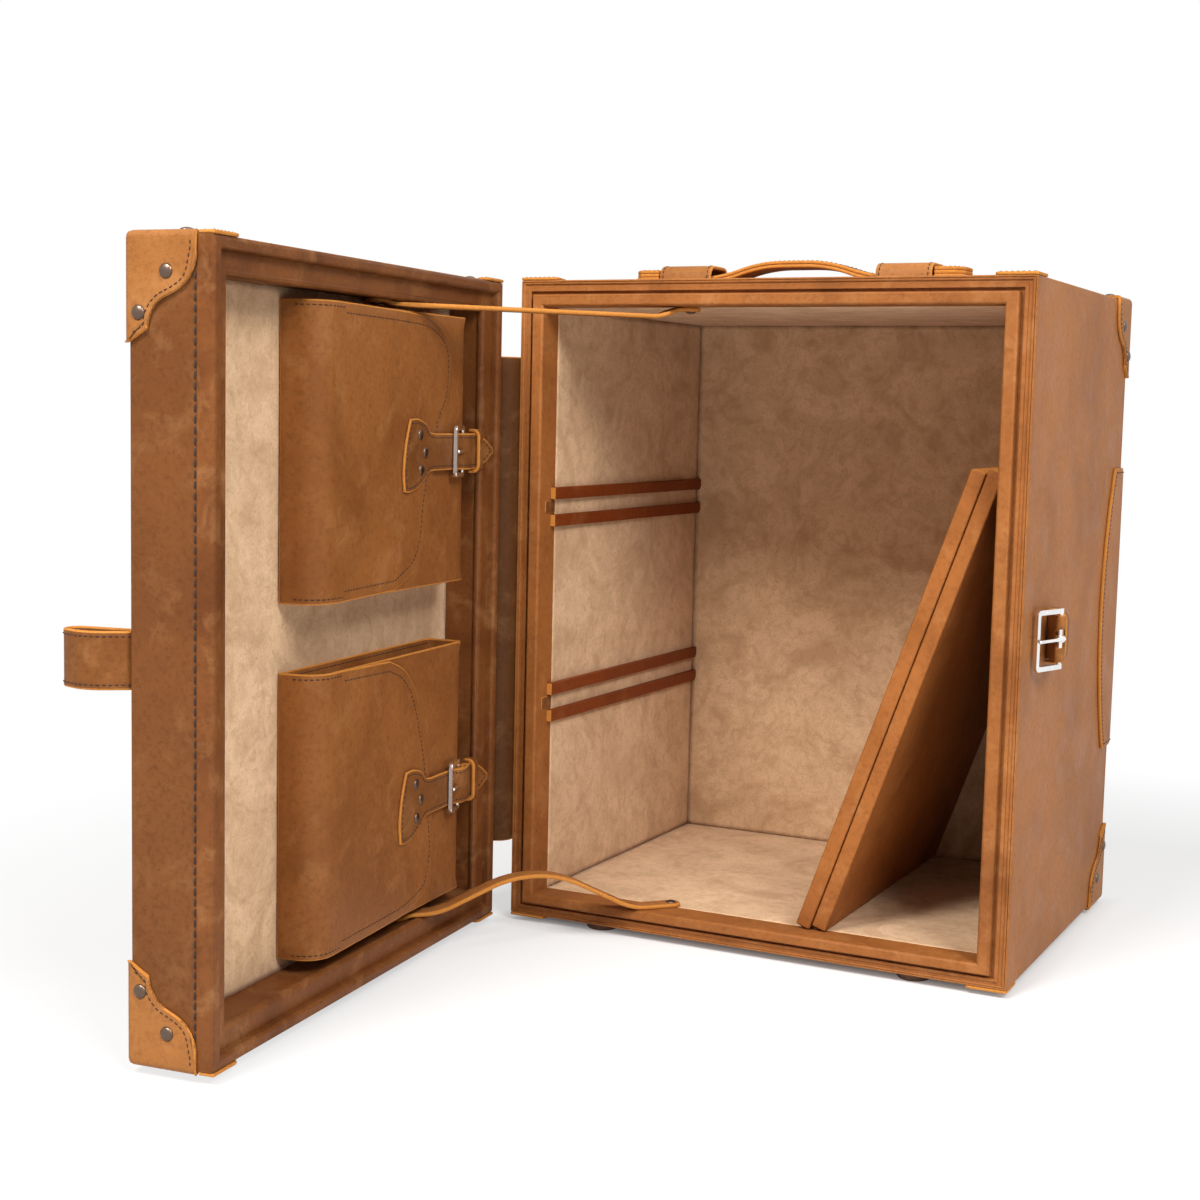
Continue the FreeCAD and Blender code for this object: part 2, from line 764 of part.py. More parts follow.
def keeper_arch(width, rise, start, end, bend):
    """A leather loop with both feet on the surface."""
    half = width / 2 + keeper_gap + keeper_leather / 2
    top = rise + keeper_leather / 2
    line = [(-half, 0), (-half, top), (half, top), (half, 0)]
    loop = band(line, [bend] * 2, keeper_leather, start, end)
    loop.rotate(V(0, 0, 0), V(1, 0, 0), 90)
    loop.rotate(V(0, 0, 0), V(0, 0, 1), 90)
    loop.rotate(V(0, 0, 0), V(1, 0, 0), -90)
    return loop


def placed(shape, turn_axis, spot):
    """Turn a buckle part half a turn about an axis and move it to its spot."""
    copy = shape.copy()
    copy.rotate(V(0, 0, 0), turn_axis, 180)
    copy.translate(spot)
    return copy


# Side buckle on the right wall
side_opening = closing_width + side_slack
side_spot = V(trunk_width, side_heel_back, closing_height)
side_turn = V(1, 1, 0)
side_chape_width = closing_width - 2 * side_slack
export("side_buckle_frame", placed(buckle_frame(side_opening, side_bar_distance, side_heel_out, side_end_out),
                                   side_turn, side_spot))
export("side_buckle_prong", placed(buckle_prong(side_bar_distance, side_heel_out, side_end_out),
                                   side_turn, side_spot))
export("side_buckle_chape", placed(buckle_chape(side_chape_width, side_heel_out, side_landing, side_tail),
                                   side_turn, side_spot))
export("side_buckle_keeper", placed(keeper_arch(closing_width - side_slack, side_keeper_rise, side_keeper_start,
                                                side_keeper_end, side_keeper_bend), side_turn, side_spot))

# Door shell
cover_edge = door_gap + door_depth
door_inner_bottom = door_bottom + door_wall
door_inner_top = door_top - door_wall
door_inner_right = trunk_width - door_wall
cover = door_block(0, trunk_width, rim_depth, door_depth, door_bottom, door_top)
cover_bore = door_block(leather, trunk_width - leather, 0, door_depth - leather,
                        door_bottom + leather, door_top - leather)
export("door_leather_cover", cover.cut(cover_bore))
ply_wall = door_wall - leather
frame_outer = door_depth - leather
export("door_frame", [
    door_block(leather, ply_wall, rim_depth, frame_outer, door_bottom + leather, door_top - leather),
    door_block(trunk_width - ply_wall, trunk_width - leather, rim_depth, frame_outer,
               door_bottom + leather, door_top - leather),
    door_block(ply_wall, trunk_width - ply_wall, rim_depth, frame_outer,
               door_bottom + leather, door_bottom + ply_wall),
    door_block(ply_wall, trunk_width - ply_wall, rim_depth, frame_outer,
               door_top - ply_wall, door_top - leather)])
panel_start = tray_depth + door_panel_suede
export("door_panel", door_block(ply_wall, trunk_width - ply_wall, panel_start, frame_outer,
                                door_bottom + ply_wall, door_top - ply_wall))
export("door_suede_lining", door_block(ply_wall, trunk_width - ply_wall, tray_depth, panel_start,
                                       door_bottom + ply_wall, door_top - ply_wall))
inner_ring = door_block(ply_wall, trunk_width - ply_wall, rim_depth, tray_depth,
                        door_bottom + ply_wall, door_top - ply_wall)
inner_bore = door_block(door_wall, door_inner_right, 0, door_depth, door_inner_bottom, door_inner_top)
export("door_tray_leather", inner_ring.cut(inner_bore))


def rim_section(wall):
    """Section of the door rim: an outer bead, a channel for the body's lip and an inner bead."""
    back = -door_gap - rim_depth
    face = -door_gap
    floor = face - rim_channel_depth
    belly = wall + rim_inner_bead
    path = [(0, back)]
    path += corner_arc(0, face, rim_round, (0, 1), (1, 0))
    path += corner_arc(rim_bead_width, face, rim_round, (1, 0), (0, -1))
    path += [(rim_bead_width, floor), (rim_channel_end, floor),
             ((belly, (floor + back) / 2), (wall, back))]
    return path


export("door_rim", framed(every_side, rim_section, (door_wall,) * 4, trunk_width, door_bottom, door_top,
                          rim_mitre_depth))
outer_face = -door_gap - door_depth
export("door_corner_caps", corner_set([corner_cap()], outer_face, 1, door_bottom, door_top))
export("door_cap_rivets", corner_set(cap_rivets(), outer_face, 1, door_bottom, door_top))
door_tab_width = door_depth - cap_width - tab_gap
rim_tabs = corner_set([rim_tab(door_tab_width)], 0, 1, door_bottom, door_top)
export("door_corner_tabs", [tab.mirror(V(0, -door_gap / 2, 0), V(0, 1, 0)) for tab in rim_tabs])

# Closing strap: sewn to the outer face, led out past the free edge and turned back on itself
strap_out = -door_gap - door_depth
half_closing = closing_thickness / 2
strap_line = strap_out - half_closing
loop_far = strap_out - closing_reach
loop_root = trunk_width - closing_inset
second_line = strap_line - closing_thickness - clearance
closing_points = [(closing_start, strap_line), (loop_root, strap_line),
                  (loop_root + closing_bulge, strap_line - closing_reach / 2),
                  (loop_root + closing_crown, loop_far),
                  (loop_root + closing_crown - closing_tip, loop_far + closing_dip),
                  (loop_root - closing_return, second_line),
                  (closing_keeper_at - closing_tail, second_line)]
closing_bends = [closing_root_bend, closing_far_bend, closing_turn_bend, closing_turn_bend,
                 closing_return_bend]
closing_bottom = closing_height - closing_width / 2
closing_top = closing_height + closing_width / 2
export("closing_strap", band(closing_points, closing_bends, closing_thickness, closing_bottom, closing_top))
rivet_x = closing_start + closing_rivet_inset
export("closing_strap_rivets", [dome(V(rivet_x, strap_out - closing_thickness, closing_height + side),
                                     V(0, -1, 0), rivet_diameter, rivet_rise)
                                for side in (-closing_rivet_spread, closing_rivet_spread)])
door_keeper = keeper_arch(closing_width, closing_thickness * 2 + clearance * 2, 0, closing_keeper_width,
                          keeper_bend)
door_keeper = door_keeper.mirror(V(0, 0, 0), V(0, 1, 0))
door_keeper.translate(V(closing_keeper_at, strap_out, closing_height))
export("closing_strap_keeper", door_keeper)

# Door pockets
upper_edge = [(188, 2), (154, 17), (139, 41), (133, 73), (111, 129), (95, 153), (92, 186), (102, 204),
              (133, 217), (185, 220)]
lower_edge = [(195, 2), (170, 12), (150, 32), (134, 69), (126, 96), (117, 148), (116, 176), (128, 201),
              (164, 212), (200, 214)]
pocket_turn = V(0, 1, 0)
opening_size = pocket_strap_width + opening_slack
chape_width = pocket_strap_width - chape_slack
upper_pocket_top = door_top - pocket_end_gap
upper_pocket_bottom = upper_pocket_top - upper_pocket_height
lower_pocket_bottom = door_bottom + lower_pocket_gap
lower_pocket_top = lower_pocket_bottom + lower_pocket_height
pocket_heel_out = chape_leather + clearance + heel_bar_diameter / 2
flap_out = pocket_face - clearance - flap_leather
flap_rise = pocket_face - flap_out
pocket_end_out = flap_rise + pocket_strap_thickness + clearance * 3 + frame_plate / 2
strap_low_line = flap_rise + pocket_strap_thickness / 2
over_chape = pocket_heel_out + heel_bar_diameter / 2 + clearance + chape_leather + clearance
keeper_line = chape_leather * 2 + clearance


def pocket_shell(bottom, top):
    """The five leathers of a pocket: its two ends, hinge side, floor and face; it opens to the free edge."""
    face = -door_gap - pocket_face
    floor = -door_gap - tray_depth
    path = [(pocket_hinge_side, floor)]
    path += corner_arc(pocket_hinge_side, face, pocket_corner, (0, 1), (1, 0))
    path += corner_arc(pocket_mouth, face, flap_bend, (1, 0), (0, -1))
    path.append((pocket_mouth, floor))
    outer = prism(path, in_xy, bottom, top)
    inside = pocket_hinge_side + pocket_leather
    low = bottom + pocket_leather
    high = top - pocket_leather
    floor_top = floor + pocket_leather
    face_end = pocket_mouth - flap_bend - mouth_setback
    parts = [
        block(pocket_hinge_side, pocket_mouth, floor, face, bottom, low),
        block(pocket_hinge_side, pocket_mouth, floor, face, high, top),
        block(pocket_hinge_side, inside, floor, face, low, high),
        block(inside, pocket_mouth, floor, floor_top, low, high),
        block(inside, face_end, face - pocket_leather, face, low, high)]
    return [outer.common(part).Solids[0] for part in parts]


def pocket_flap(bottom, top, edge, lobe_up):
    """A flap from the lining round the mouth and over the front, cut to its curved edge."""
    outer_u = pocket_mouth + clearance * 2 + flap_leather
    root = -door_gap - tray_depth + pocket_leather
    face = -door_gap - flap_out
    bend = flap_bend + flap_leather
    line_u = outer_u - flap_leather / 2
    line_y = face - flap_leather / 2
    reach = min(u for u, rise in edge)
    section = band([(line_u, root), (line_u, line_y), (reach - flap_end_room, line_y)], [bend - flap_leather / 2],
                   flap_leather, bottom - 1, top + 1)
    marks = [(u, bottom + rise if lobe_up else top - rise) for u, rise in edge]
    spots = [V(u, 0, z) for u, z in marks]
    curve = Part.BSplineCurve()
    curve.interpolate(spots)
    start_z = bottom if lobe_up else top
    end_z = top if lobe_up else bottom
    turn_u = outer_u - bend - flap_root_room
    runs = [V(turn_u, 0, end_z), V(outer_u + 1, 0, end_z), V(outer_u + 1, 0, start_z),
            V(turn_u, 0, start_z)]
    edges = [curve.toShape()]
    cursor = spots[-1]
    for spot in runs + [spots[0]]:
        edges.append(Part.LineSegment(cursor, spot).toShape())
        cursor = spot
    cutter = Part.Face(Part.Wire(edges))
    cutter.translate(V(0, -cover_edge, 0))
    return section.common(cutter.extrude(V(0, cover_edge, 0))).Solids[0]


def pocket_strap():
    """The flap's strap in the buckle's own frame, with its fishtail end and pointed tail."""
    half = pocket_strap_thickness / 2
    x_of = pocket_heel - fishtail_end
    tail_x = pocket_heel - pocket_tail
    top_line = over_chape + half
    rest_line = keeper_line + half
    line = [(x_of, strap_low_line), (strap_bar_lead - pocket_bar_distance, strap_low_line),
            (-heel_bar_diameter / 2, top_line), (keeper_near - strap_keeper_lead, top_line - strap_dip),
            (keeper_near - strap_keeper_room, rest_line), (keeper_far + strap_keeper_room, rest_line),
            (tail_x, rest_line + strap_tail_lift)]
    strip = band(line, strap_bends, pocket_strap_thickness, -fishtail_height, fishtail_height)
    width = pocket_strap_width / 2
    fin = fishtail_height / 2
    root_x = pocket_heel - fishtail_root
    notch_x = x_of + fishtail_notch
    waist_x = x_of + fishtail_straight
    waist = fin - fishtail_narrowing
    shoulder = (root_x - fishtail_notch, width + fishtail_flare)
    neck_x = root_x + strap_bar_lead
    point_x = tail_x - tail_point
    side_x = tail_x - tail_round
    plan = [(notch_x, -fin), ((x_of, 0), (notch_x, fin)), (waist_x, waist),
            (shoulder, (neck_x, width)), (point_x, width),
            ((side_x, tail_round_width), (tail_x, 0)), ((side_x, -tail_round_width), (point_x, -width)),
            (neck_x, -width), ((shoulder[0], -shoulder[1]), (waist_x, -waist))]
    shape = strip.common(prism(plan, in_xz, -fishtail_height, fishtail_height))
    slot_half = prong_diameter / 2 + prong_hole_gap
    slot_start = frame_bar - pocket_bar_distance
    slot = block(slot_start, heel_bar_diameter, -fishtail_height, fishtail_height, -slot_half, slot_half)
    return shape.cut(slot).Solids[0]


def fishtail_rivets():
    """Three rivets in a shallow bow across the fishtail."""
    level = strap_low_line + pocket_strap_thickness / 2
    return [dome(V(pocket_heel - u, level, side), V(0, 1, 0), pocket_rivet_diameter, pocket_rivet_rise)
            for u, side in fishtail_rivet_marks]


def door_pocket(name, bottom, top, edge, lobe_up, strap_height):
    """One pocket with its flap, strap and buckle."""
    spot = in_door(pocket_heel, pocket_face, strap_height)
    export(name + "_pocket", pocket_shell(bottom, top))
    export(name + "_pocket_flap", pocket_flap(bottom - clearance * 2, top + clearance * 2, edge, lobe_up))
    export(name + "_pocket_strap", placed(pocket_strap(), pocket_turn, spot))
    export(name + "_pocket_rivets", [placed(head, pocket_turn, spot) for head in fishtail_rivets()])
    frame = buckle_frame(opening_size, pocket_bar_distance, pocket_heel_out, pocket_end_out)
    export(name + "_buckle_frame", placed(frame, pocket_turn, spot))
    prong = buckle_prong(pocket_bar_distance, pocket_heel_out, pocket_end_out)
    export(name + "_buckle_prong", placed(prong, pocket_turn, spot))
    chape = buckle_chape(chape_width, pocket_heel_out, pocket_landing, pocket_chape_tail)
    export(name + "_buckle_chape", placed(chape, pocket_turn, spot))
    rise = keeper_line + pocket_strap_thickness + clearance * 2
    keeper = keeper_arch(pocket_strap_width, rise, keeper_near, keeper_far, keeper_bend)
    export(name + "_buckle_keeper", placed(keeper, pocket_turn, spot))
    parts = ("_pocket", "_pocket_flap", "_pocket_strap", "_pocket_rivets", "_buckle_frame",
             "_buckle_prong", "_buckle_chape", "_buckle_keeper")
    on_door.update(name + part for part in parts)


door_pocket("upper", upper_pocket_bottom, upper_pocket_top, upper_edge, True, upper_strap_height)
door_pocket("lower", lower_pocket_bottom, lower_pocket_top, lower_edge, False, lower_strap_height)
on_door.update(("door_leather_cover", "door_frame", "door_panel", "door_suede_lining", "door_tray_leather",
                "door_rim", "door_corner_caps", "door_cap_rivets", "door_corner_tabs", "closing_strap",
                "closing_strap_rivets", "closing_strap_keeper"))

# Open the door, centre the whole part over its feet and write one file for each node
for name in on_door:
    for solid in nodes[name]:
        solid.rotate(hinge_axis, V(0, 0, 1), -open_angle)
box = FreeCAD.BoundBox()
for solids in nodes.values():
    for solid in solids:
        box.add(solid.optimalBoundingBox(True, False))
shift = V(-box.Center.x, -box.Center.y, foot_height)
print("shift", [round(value, 4) for value in shift], "box", box.XLength, box.YLength, box.ZLength, box.ZMin)


def opened(point):
    """A point of the closed door, taken round the hinge to the open door and moved with the part."""
    arm = point - hinge_axis
    turned = FreeCAD.Rotation(V(0, 0, 1), -open_angle).multVec(arm)
    return hinge_axis + turned + shift


middle = trunk_height / 2
pivot_u = pocket_mouth + clearance * 2 + flap_leather / 2
pivot_w = tray_depth - pocket_leather
places = {
    "door_hinge": hinge_axis + shift + V(0, 0, middle),
    "upper_flap_hinge": opened(in_door(pivot_u, pivot_w, (upper_pocket_bottom + upper_pocket_top) / 2)),
    "lower_flap_hinge": opened(in_door(pivot_u, pivot_w, (lower_pocket_bottom + lower_pocket_top) / 2)),
    "upper_buckle_bar": opened(in_door(pocket_heel, pocket_face - pocket_heel_out, upper_strap_height)),
    "lower_buckle_bar": opened(in_door(pocket_heel, pocket_face - pocket_heel_out, lower_strap_height)),
    "side_buckle_bar": side_spot + V(side_heel_out, 0, 0) + shift,
    "handle": handle_place + shift,
    "left_board_foot": V(left_foot, body_depth / 2, inner_floor) + shift,
    "right_board_foot": V(right_foot, body_depth / 2, inner_floor) + shift,
}
for name, spot in places.items():
    print("place", name, round(spot.x, 3), round(spot.y, 3), round(spot.z, 3))
for name, solids in nodes.items():
    for solid in solids:
        solid.translate(shift)
    shape = solids[0] if len(solids) == 1 else Part.makeCompound(solids)
    bad = [solid for solid in solids if not solid.isValid() or len(solid.Solids) != 1]
    print(name, len(solids), "solids", "BAD" if bad else "")
    shape.exportStep("parts/" + name + ".step")
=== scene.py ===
"""Dresses the leather trunk: its leathers, suede, stitches, rivets, buckles and stage."""

import json
import math

import bmesh
import bpy
from mathutils import Matrix, Vector, noise
from mathutils.geometry import delaunay_2d_cdt

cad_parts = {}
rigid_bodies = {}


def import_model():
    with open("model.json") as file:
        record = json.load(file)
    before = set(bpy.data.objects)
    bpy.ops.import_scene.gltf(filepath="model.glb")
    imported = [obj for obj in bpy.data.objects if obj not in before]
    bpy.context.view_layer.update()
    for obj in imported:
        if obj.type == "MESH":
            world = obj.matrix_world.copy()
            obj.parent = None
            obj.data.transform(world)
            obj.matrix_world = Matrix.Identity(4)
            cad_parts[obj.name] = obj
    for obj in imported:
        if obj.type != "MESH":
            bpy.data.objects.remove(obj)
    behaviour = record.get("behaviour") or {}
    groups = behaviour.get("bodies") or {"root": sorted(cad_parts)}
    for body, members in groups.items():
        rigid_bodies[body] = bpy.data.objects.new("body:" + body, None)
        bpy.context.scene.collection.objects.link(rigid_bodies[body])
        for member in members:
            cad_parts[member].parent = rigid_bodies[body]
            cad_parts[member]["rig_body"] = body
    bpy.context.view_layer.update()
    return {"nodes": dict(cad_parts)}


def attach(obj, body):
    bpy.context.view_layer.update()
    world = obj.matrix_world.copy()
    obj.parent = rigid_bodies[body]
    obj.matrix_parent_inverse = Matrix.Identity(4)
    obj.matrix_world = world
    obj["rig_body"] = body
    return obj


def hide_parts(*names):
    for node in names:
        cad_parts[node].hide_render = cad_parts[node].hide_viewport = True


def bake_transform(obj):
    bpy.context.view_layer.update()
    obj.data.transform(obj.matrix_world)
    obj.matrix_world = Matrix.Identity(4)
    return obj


bl_info = {
    "name": "Leather trunk",
    "version": (1, 0, 0),
    "blender": (4, 5, 0),
    "location": "View3D > Sidebar > Trunk",
    "description": "Makes the looks of an open leather trunk round its packed model",
    "category": "Add Mesh",
}

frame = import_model()

# All sizes are in millimetres until a point is placed
MM = 0.001
shift = Vector((-192.5817, 65.74, 7.0))
trunk_width = 450.0
trunk_height = 560.0
body_depth = 345.0
inner_left = 24.0
inner_right = 426.0
inner_top = 537.5
inner_floor = 20.0
inner_back = 334.0
frame_return = 24.0
door_bottom = 2.0
door_top = 557.0
door_gap = 2.0
door_depth = 65.0
door_wall = 24.0
tray_depth = 41.0
open_angle = math.radians(84.4)
hinge_out, hinge_ahead = 11.7, 3.3
hinge = Vector((-hinge_out, -hinge_ahead, 0.0))
# In the open door u runs from its hinge side, and w from its rim to its outer face
door_u = Vector((math.cos(open_angle), -math.sin(open_angle), 0.0))
door_w = Vector((-math.sin(open_angle), -math.cos(open_angle), 0.0))
door_corner = hinge + door_u * hinge_out + door_w * (door_gap - hinge_ahead)
up = Vector((0.0, 0.0, 1.0))


class Trim(bpy.types.PropertyGroup):
    leather: bpy.props.FloatVectorProperty(
        name="Leather", description="Colour of the lit leather", subtype="COLOR",
        size=3, min=0, max=1, default=(0.365, 0.138, 0.038))
    suede: bpy.props.FloatVectorProperty(
        name="Suede", description="Colour of the lining", subtype="COLOR",
        size=3, min=0, max=1, default=(0.66, 0.43, 0.25))
    raw_edge: bpy.props.FloatVectorProperty(
        name="Raw edge", description="Colour of the cut leather edges", subtype="COLOR",
        size=3, min=0, max=1, default=(0.62, 0.235, 0.032))
    stitch_pitch: bpy.props.FloatProperty(
        name="Fine stitch pitch", description="Distance between the fine stitches", subtype="DISTANCE",
        unit="LENGTH", min=0.002, max=0.01, default=0.0042)
    coarse_pitch: bpy.props.FloatProperty(
        name="Coarse stitch pitch", description="Distance between the saddle stitches of the door",
        subtype="DISTANCE", unit="LENGTH", min=0.003, max=0.015, default=0.0071)
    rivet_rise: bpy.props.FloatProperty(
        name="Rivet rise", description="Height of a rivet's dome", subtype="DISTANCE",
        unit="LENGTH", min=0.0005, max=0.005, default=0.0022)


# Shader groups
def new_group(name, inputs, outputs):
    """A shader group with its sockets; the caller adds the nodes between them."""
    tree = bpy.data.node_groups.new(name, "ShaderNodeTree")
    for label, kind, value in inputs:
        socket = tree.interface.new_socket(label, in_out="INPUT", socket_type=kind)
        socket.default_value = value
    for label, kind in outputs:
        tree.interface.new_socket(label, in_out="OUTPUT", socket_type=kind)
    return tree, tree.nodes.new("NodeGroupInput"), tree.nodes.new("NodeGroupOutput")


def new_node(tree, kind, **values):
    """A new node with these inputs; an underscore in a name stands for a blank."""
    node = tree.nodes.new(kind)
    for label, value in values.items():
        node.inputs[label.replace("_", " ")].default_value = value
    return node


def feed(tree, value, socket):
    """Gives an input another socket's value or a plain one."""
    if isinstance(value, bpy.types.NodeSocket):
        tree.links.new(value, socket)
    else:
        socket.default_value = value


def object_place(tree):
    """The Object coordinates, which every pattern follows."""
    return tree.nodes.new("ShaderNodeTexCoord").outputs["Object"]


def add_noise(tree, place, scale, detail, rough, distortion=0.0):
    node = new_node(tree, "ShaderNodeTexNoise", Scale=scale, Detail=detail, Roughness=rough,
                    Distortion=distortion)
    tree.links.new(place, node.inputs["Vector"])
    return node.outputs["Fac"]


def add_range(tree, value, low, high, to_low, to_high):
    node = new_node(tree, "ShaderNodeMapRange", From_Min=low, From_Max=high, To_Min=to_low, To_Max=to_high)
    tree.links.new(value, node.inputs["Value"])
    return node.outputs["Result"]


def add_mix(tree, factor, first, second, blend_type="MIX"):
    """A colour mix; each of its three values is a socket or a plain value."""
    node = tree.nodes.new("ShaderNodeMix")
    node.data_type = "RGBA"
    node.blend_type = blend_type
    for label, value in (("Factor", factor), ("A", first), ("B", second)):
        feed(tree, value, [s for s in node.inputs if s.name == label and s.enabled][0])
    return [s for s in node.outputs if s.enabled][0]


def add_math(tree, operation, first, second):
    node = tree.nodes.new("ShaderNodeMath")
    node.operation = operation
    for socket, value in zip(node.inputs, (first, second)):
        feed(tree, value, socket)
    return node.outputs["Value"]


def hide_group():
    """Oiled hide: soft clouds, a few pale rubs and dark fibres, with a fine grain as height."""
    tree, given, made = new_group(
        "hide_surface",
        [("Colour", "NodeSocketColor", (0.4, 0.2, 0.07, 1)), ("Cloud", "NodeSocketFloat", 0.5),
         ("Grain", "NodeSocketFloat", 1.0)],
        [("Colour", "NodeSocketColor"), ("Roughness", "NodeSocketFloat"), ("Height", "NodeSocketFloat")])
    place = object_place(tree)
    big = add_noise(tree, place, 9.0, 6.0, 0.62, 0.4)
    middle = add_noise(tree, place, 34.0, 5.0, 0.6, 0.6)
    fibre = add_noise(tree, place, 240.0, 4.0, 0.65)
    dark = add_mix(tree, 1.0, given.outputs["Colour"], (0.42, 0.34, 0.30, 1), "MULTIPLY")
    pale = add_mix(tree, 0.22, given.outputs["Colour"], (0.75, 0.42, 0.18, 1))
    share = given.outputs["Cloud"]
    cloud = add_math(tree, "MULTIPLY", add_range(tree, big, 0.42, 0.68, 0.0, 1.0), share)
    base = add_mix(tree, cloud, given.outputs["Colour"], dark)
    rub = add_math(tree, "MULTIPLY", add_range(tree, middle, 0.52, 0.75, 0.0, 1.0), share)
    rubbed = add_mix(tree, rub, base, pale)
    speck = add_range(tree, fibre, 0.48, 0.72, 0.0, 0.42)
    final = add_mix(tree, speck, rubbed, dark)
    tree.links.new(final, made.inputs["Colour"])
    rough = add_range(tree, middle, 0.3, 0.7, 0.42, 0.60)
    tree.links.new(rough, made.inputs["Roughness"])
    cells = tree.nodes.new("ShaderNodeTexVoronoi")
    cells.feature = "SMOOTH_F1"
    cells.inputs["Scale"].default_value = 720.0
    cells.inputs["Smoothness"].default_value = 0.6
    tree.links.new(place, cells.inputs["Vector"])
    grain = add_math(tree, "MULTIPLY", cells.outputs["Distance"], given.outputs["Grain"])
    tree.links.new(add_math(tree, "ADD", grain, fibre), made.inputs["Height"])
    return tree


def nap_group():
    """Brushed suede: soft swirls where the nap lies another way, with a fine fuzz as height."""
    tree, given, made = new_group(
        "suede_nap",
        [("Colour", "NodeSocketColor", (0.55, 0.4, 0.25, 1)), ("Swirl", "NodeSocketFloat", 0.5)],
        [("Colour", "NodeSocketColor"), ("Height", "NodeSocketFloat")])
    place = object_place(tree)
    swirl = add_noise(tree, place, 15.0, 6.0, 0.65, 1.6)
    streak = add_noise(tree, place, 70.0, 3.0, 0.6, 1.2)
    fuzz = add_noise(tree, place, 900.0, 3.0, 0.7)
    pits = add_noise(tree, place, 520.0, 2.0, 0.5)
    dark = add_mix(tree, 1.0, given.outputs["Colour"], (0.62, 0.54, 0.46, 1), "MULTIPLY")
    pale = add_mix(tree, 0.20, given.outputs["Colour"], (0.86, 0.66, 0.44, 1))
    turned = add_range(tree, swirl, 0.40, 0.66, 0.0, 1.0)
    turn = add_math(tree, "MULTIPLY", turned, given.outputs["Swirl"])
    first = add_mix(tree, turn, pale, dark)
    second = add_mix(tree, add_range(tree, streak, 0.46, 0.70, 0.0, 0.45), first, dark)
    third = add_mix(tree, add_range(tree, pits, 0.50, 0.70, 0.0, 0.40), second, dark)
    tree.links.new(third, made.inputs["Colour"])
    tree.links.new(add_math(tree, "ADD", fuzz, pits), made.inputs["Height"])
    return tree


def finish_material(name, roughness, bump=0.0):
    """An empty Principled material and its parts."""
    material = bpy.data.materials.new(name)
    material.use_nodes = True
    tree = material.node_tree
    shader = tree.nodes["Principled BSDF"]
    shader.inputs["Roughness"].default_value = roughness
    bump_node = None
    if bump:
        bump_node = new_node(tree, "ShaderNodeBump", Distance=bump, Strength=0.6)
        tree.links.new(bump_node.outputs["Normal"], shader.inputs["Normal"])
    return material, tree, shader, bump_node


leather_relief = 0.0003


def grouped_material(name, group_name, colour, masks, roughness, bump, constants):
    """A finish whose colour and height come from a shader group."""
    material, tree, shader, bump_node = finish_material(name, roughness, bump)
    group = tree.nodes.new("ShaderNodeGroup")
    group.node_tree = groups[group_name]
    group.inputs["Colour"].default_value = (*colour, 1)
    for label, value in masks.items():
        group.inputs[label].default_value = value
    for label, value in constants.items():
        shader.inputs[label].default_value = value
    tree.links.new(group.outputs["Colour"], shader.inputs["Base Color"])
    tree.links.new(group.outputs["Height"], bump_node.inputs["Height"])
    if "Roughness" in group.outputs:
        tree.links.new(group.outputs["Roughness"], shader.inputs["Roughness"])
    return material


def hide_material(name, colour, cloud, grain, coat):
    """A leather in its own colour."""
    constants = {"Coat Weight": coat, "Coat Roughness": 0.35, "Specular IOR Level": 0.12}
    return grouped_material(name, "hide", colour, {"Cloud": cloud, "Grain": grain}, 0.5, leather_relief,
                            constants)


def suede_material(name, colour, swirl):
    constants = {"Specular IOR Level": 0.15, "Sheen Weight": 0.12, "Sheen Roughness": 0.6}
    return grouped_material(name, "nap", colour, {"Swirl": swirl}, 0.95, 0.0004, constants)


def metal_material(name, colour, rough_low, rough_high, scale):
    """A metal with faint rubs."""
    material, tree, shader, bump_node = finish_material(name, rough_low)
    rubs = add_noise(tree, object_place(tree), scale, 4.0, 0.6)
    shader.inputs["Metallic"].default_value = 1.0
    tree.links.new(add_range(tree, rubs, 0.35, 0.7, rough_low, rough_high), shader.inputs["Roughness"])
    worn = add_mix(tree, add_range(tree, rubs, 0.45, 0.75, 0.0, 0.5), (*colour, 1),
                   tuple(value * 0.7 for value in colour) + (1,))
    tree.links.new(worn, shader.inputs["Base Color"])
    return material


def plain_material(name, colour, roughness, scale, spread):
    """A matt finish with small uneven spots, as on thread, ply and feet."""
    material, tree, shader, bump_node = finish_material(name, roughness, leather_relief)
    spots = add_noise(tree, object_place(tree), scale, 4.0, 0.6)
    second = tuple(value * (1.0 - spread) for value in colour) + (1,)
    tree.links.new(add_mix(tree, add_range(tree, spots, 0.35, 0.65, 0.0, 1.0), (*colour, 1), second),
                   shader.inputs["Base Color"])
    tree.links.new(spots, bump_node.inputs["Height"])
    return material


groups = {}
finishes = {}

# For each leather: the share of the lit leather's colour, the clouds, the grain and the coat; the door, rim
# and strip leathers are darkened copies that paint shade
tinted_leathers = {
    "tan_leather": ((1.0, 1.0, 1.0), 0.45, 0.5, 0.0),
    "front_leather": ((0.90, 0.84, 0.78), 0.6, 0.5, 0.03),
    "flap_leather": ((0.76, 0.74, 0.72), 0.5, 0.6, 0.02),
    # Darkened copy for the door's cover: painted shade of the door's side
    "door_leather": ((0.46, 0.43, 0.43), 0.4, 0.5, 0.02),
    # Darkened copy for the door's rim and tray: painted shade
    "shaded_rim_leather": ((0.52, 0.47, 0.46), 0.8, 0.6, 0.04),
    # Darkest copy, for the hinge strip: painted shade of the gap between door and body
    "shaded_strip_leather": ((0.25, 0.24, 0.25), 0.4, 0.5, 0.02),
    "strap_leather": ((0.98, 1.02, 1.0), 0.5, 0.6, 0.0),
    "buckle_leather": ((0.62, 0.60, 0.58), 0.6, 0.6, 0.0),
    "board_leather": ((0.92, 0.83, 0.71), 0.6, 0.5, 0.025),
}
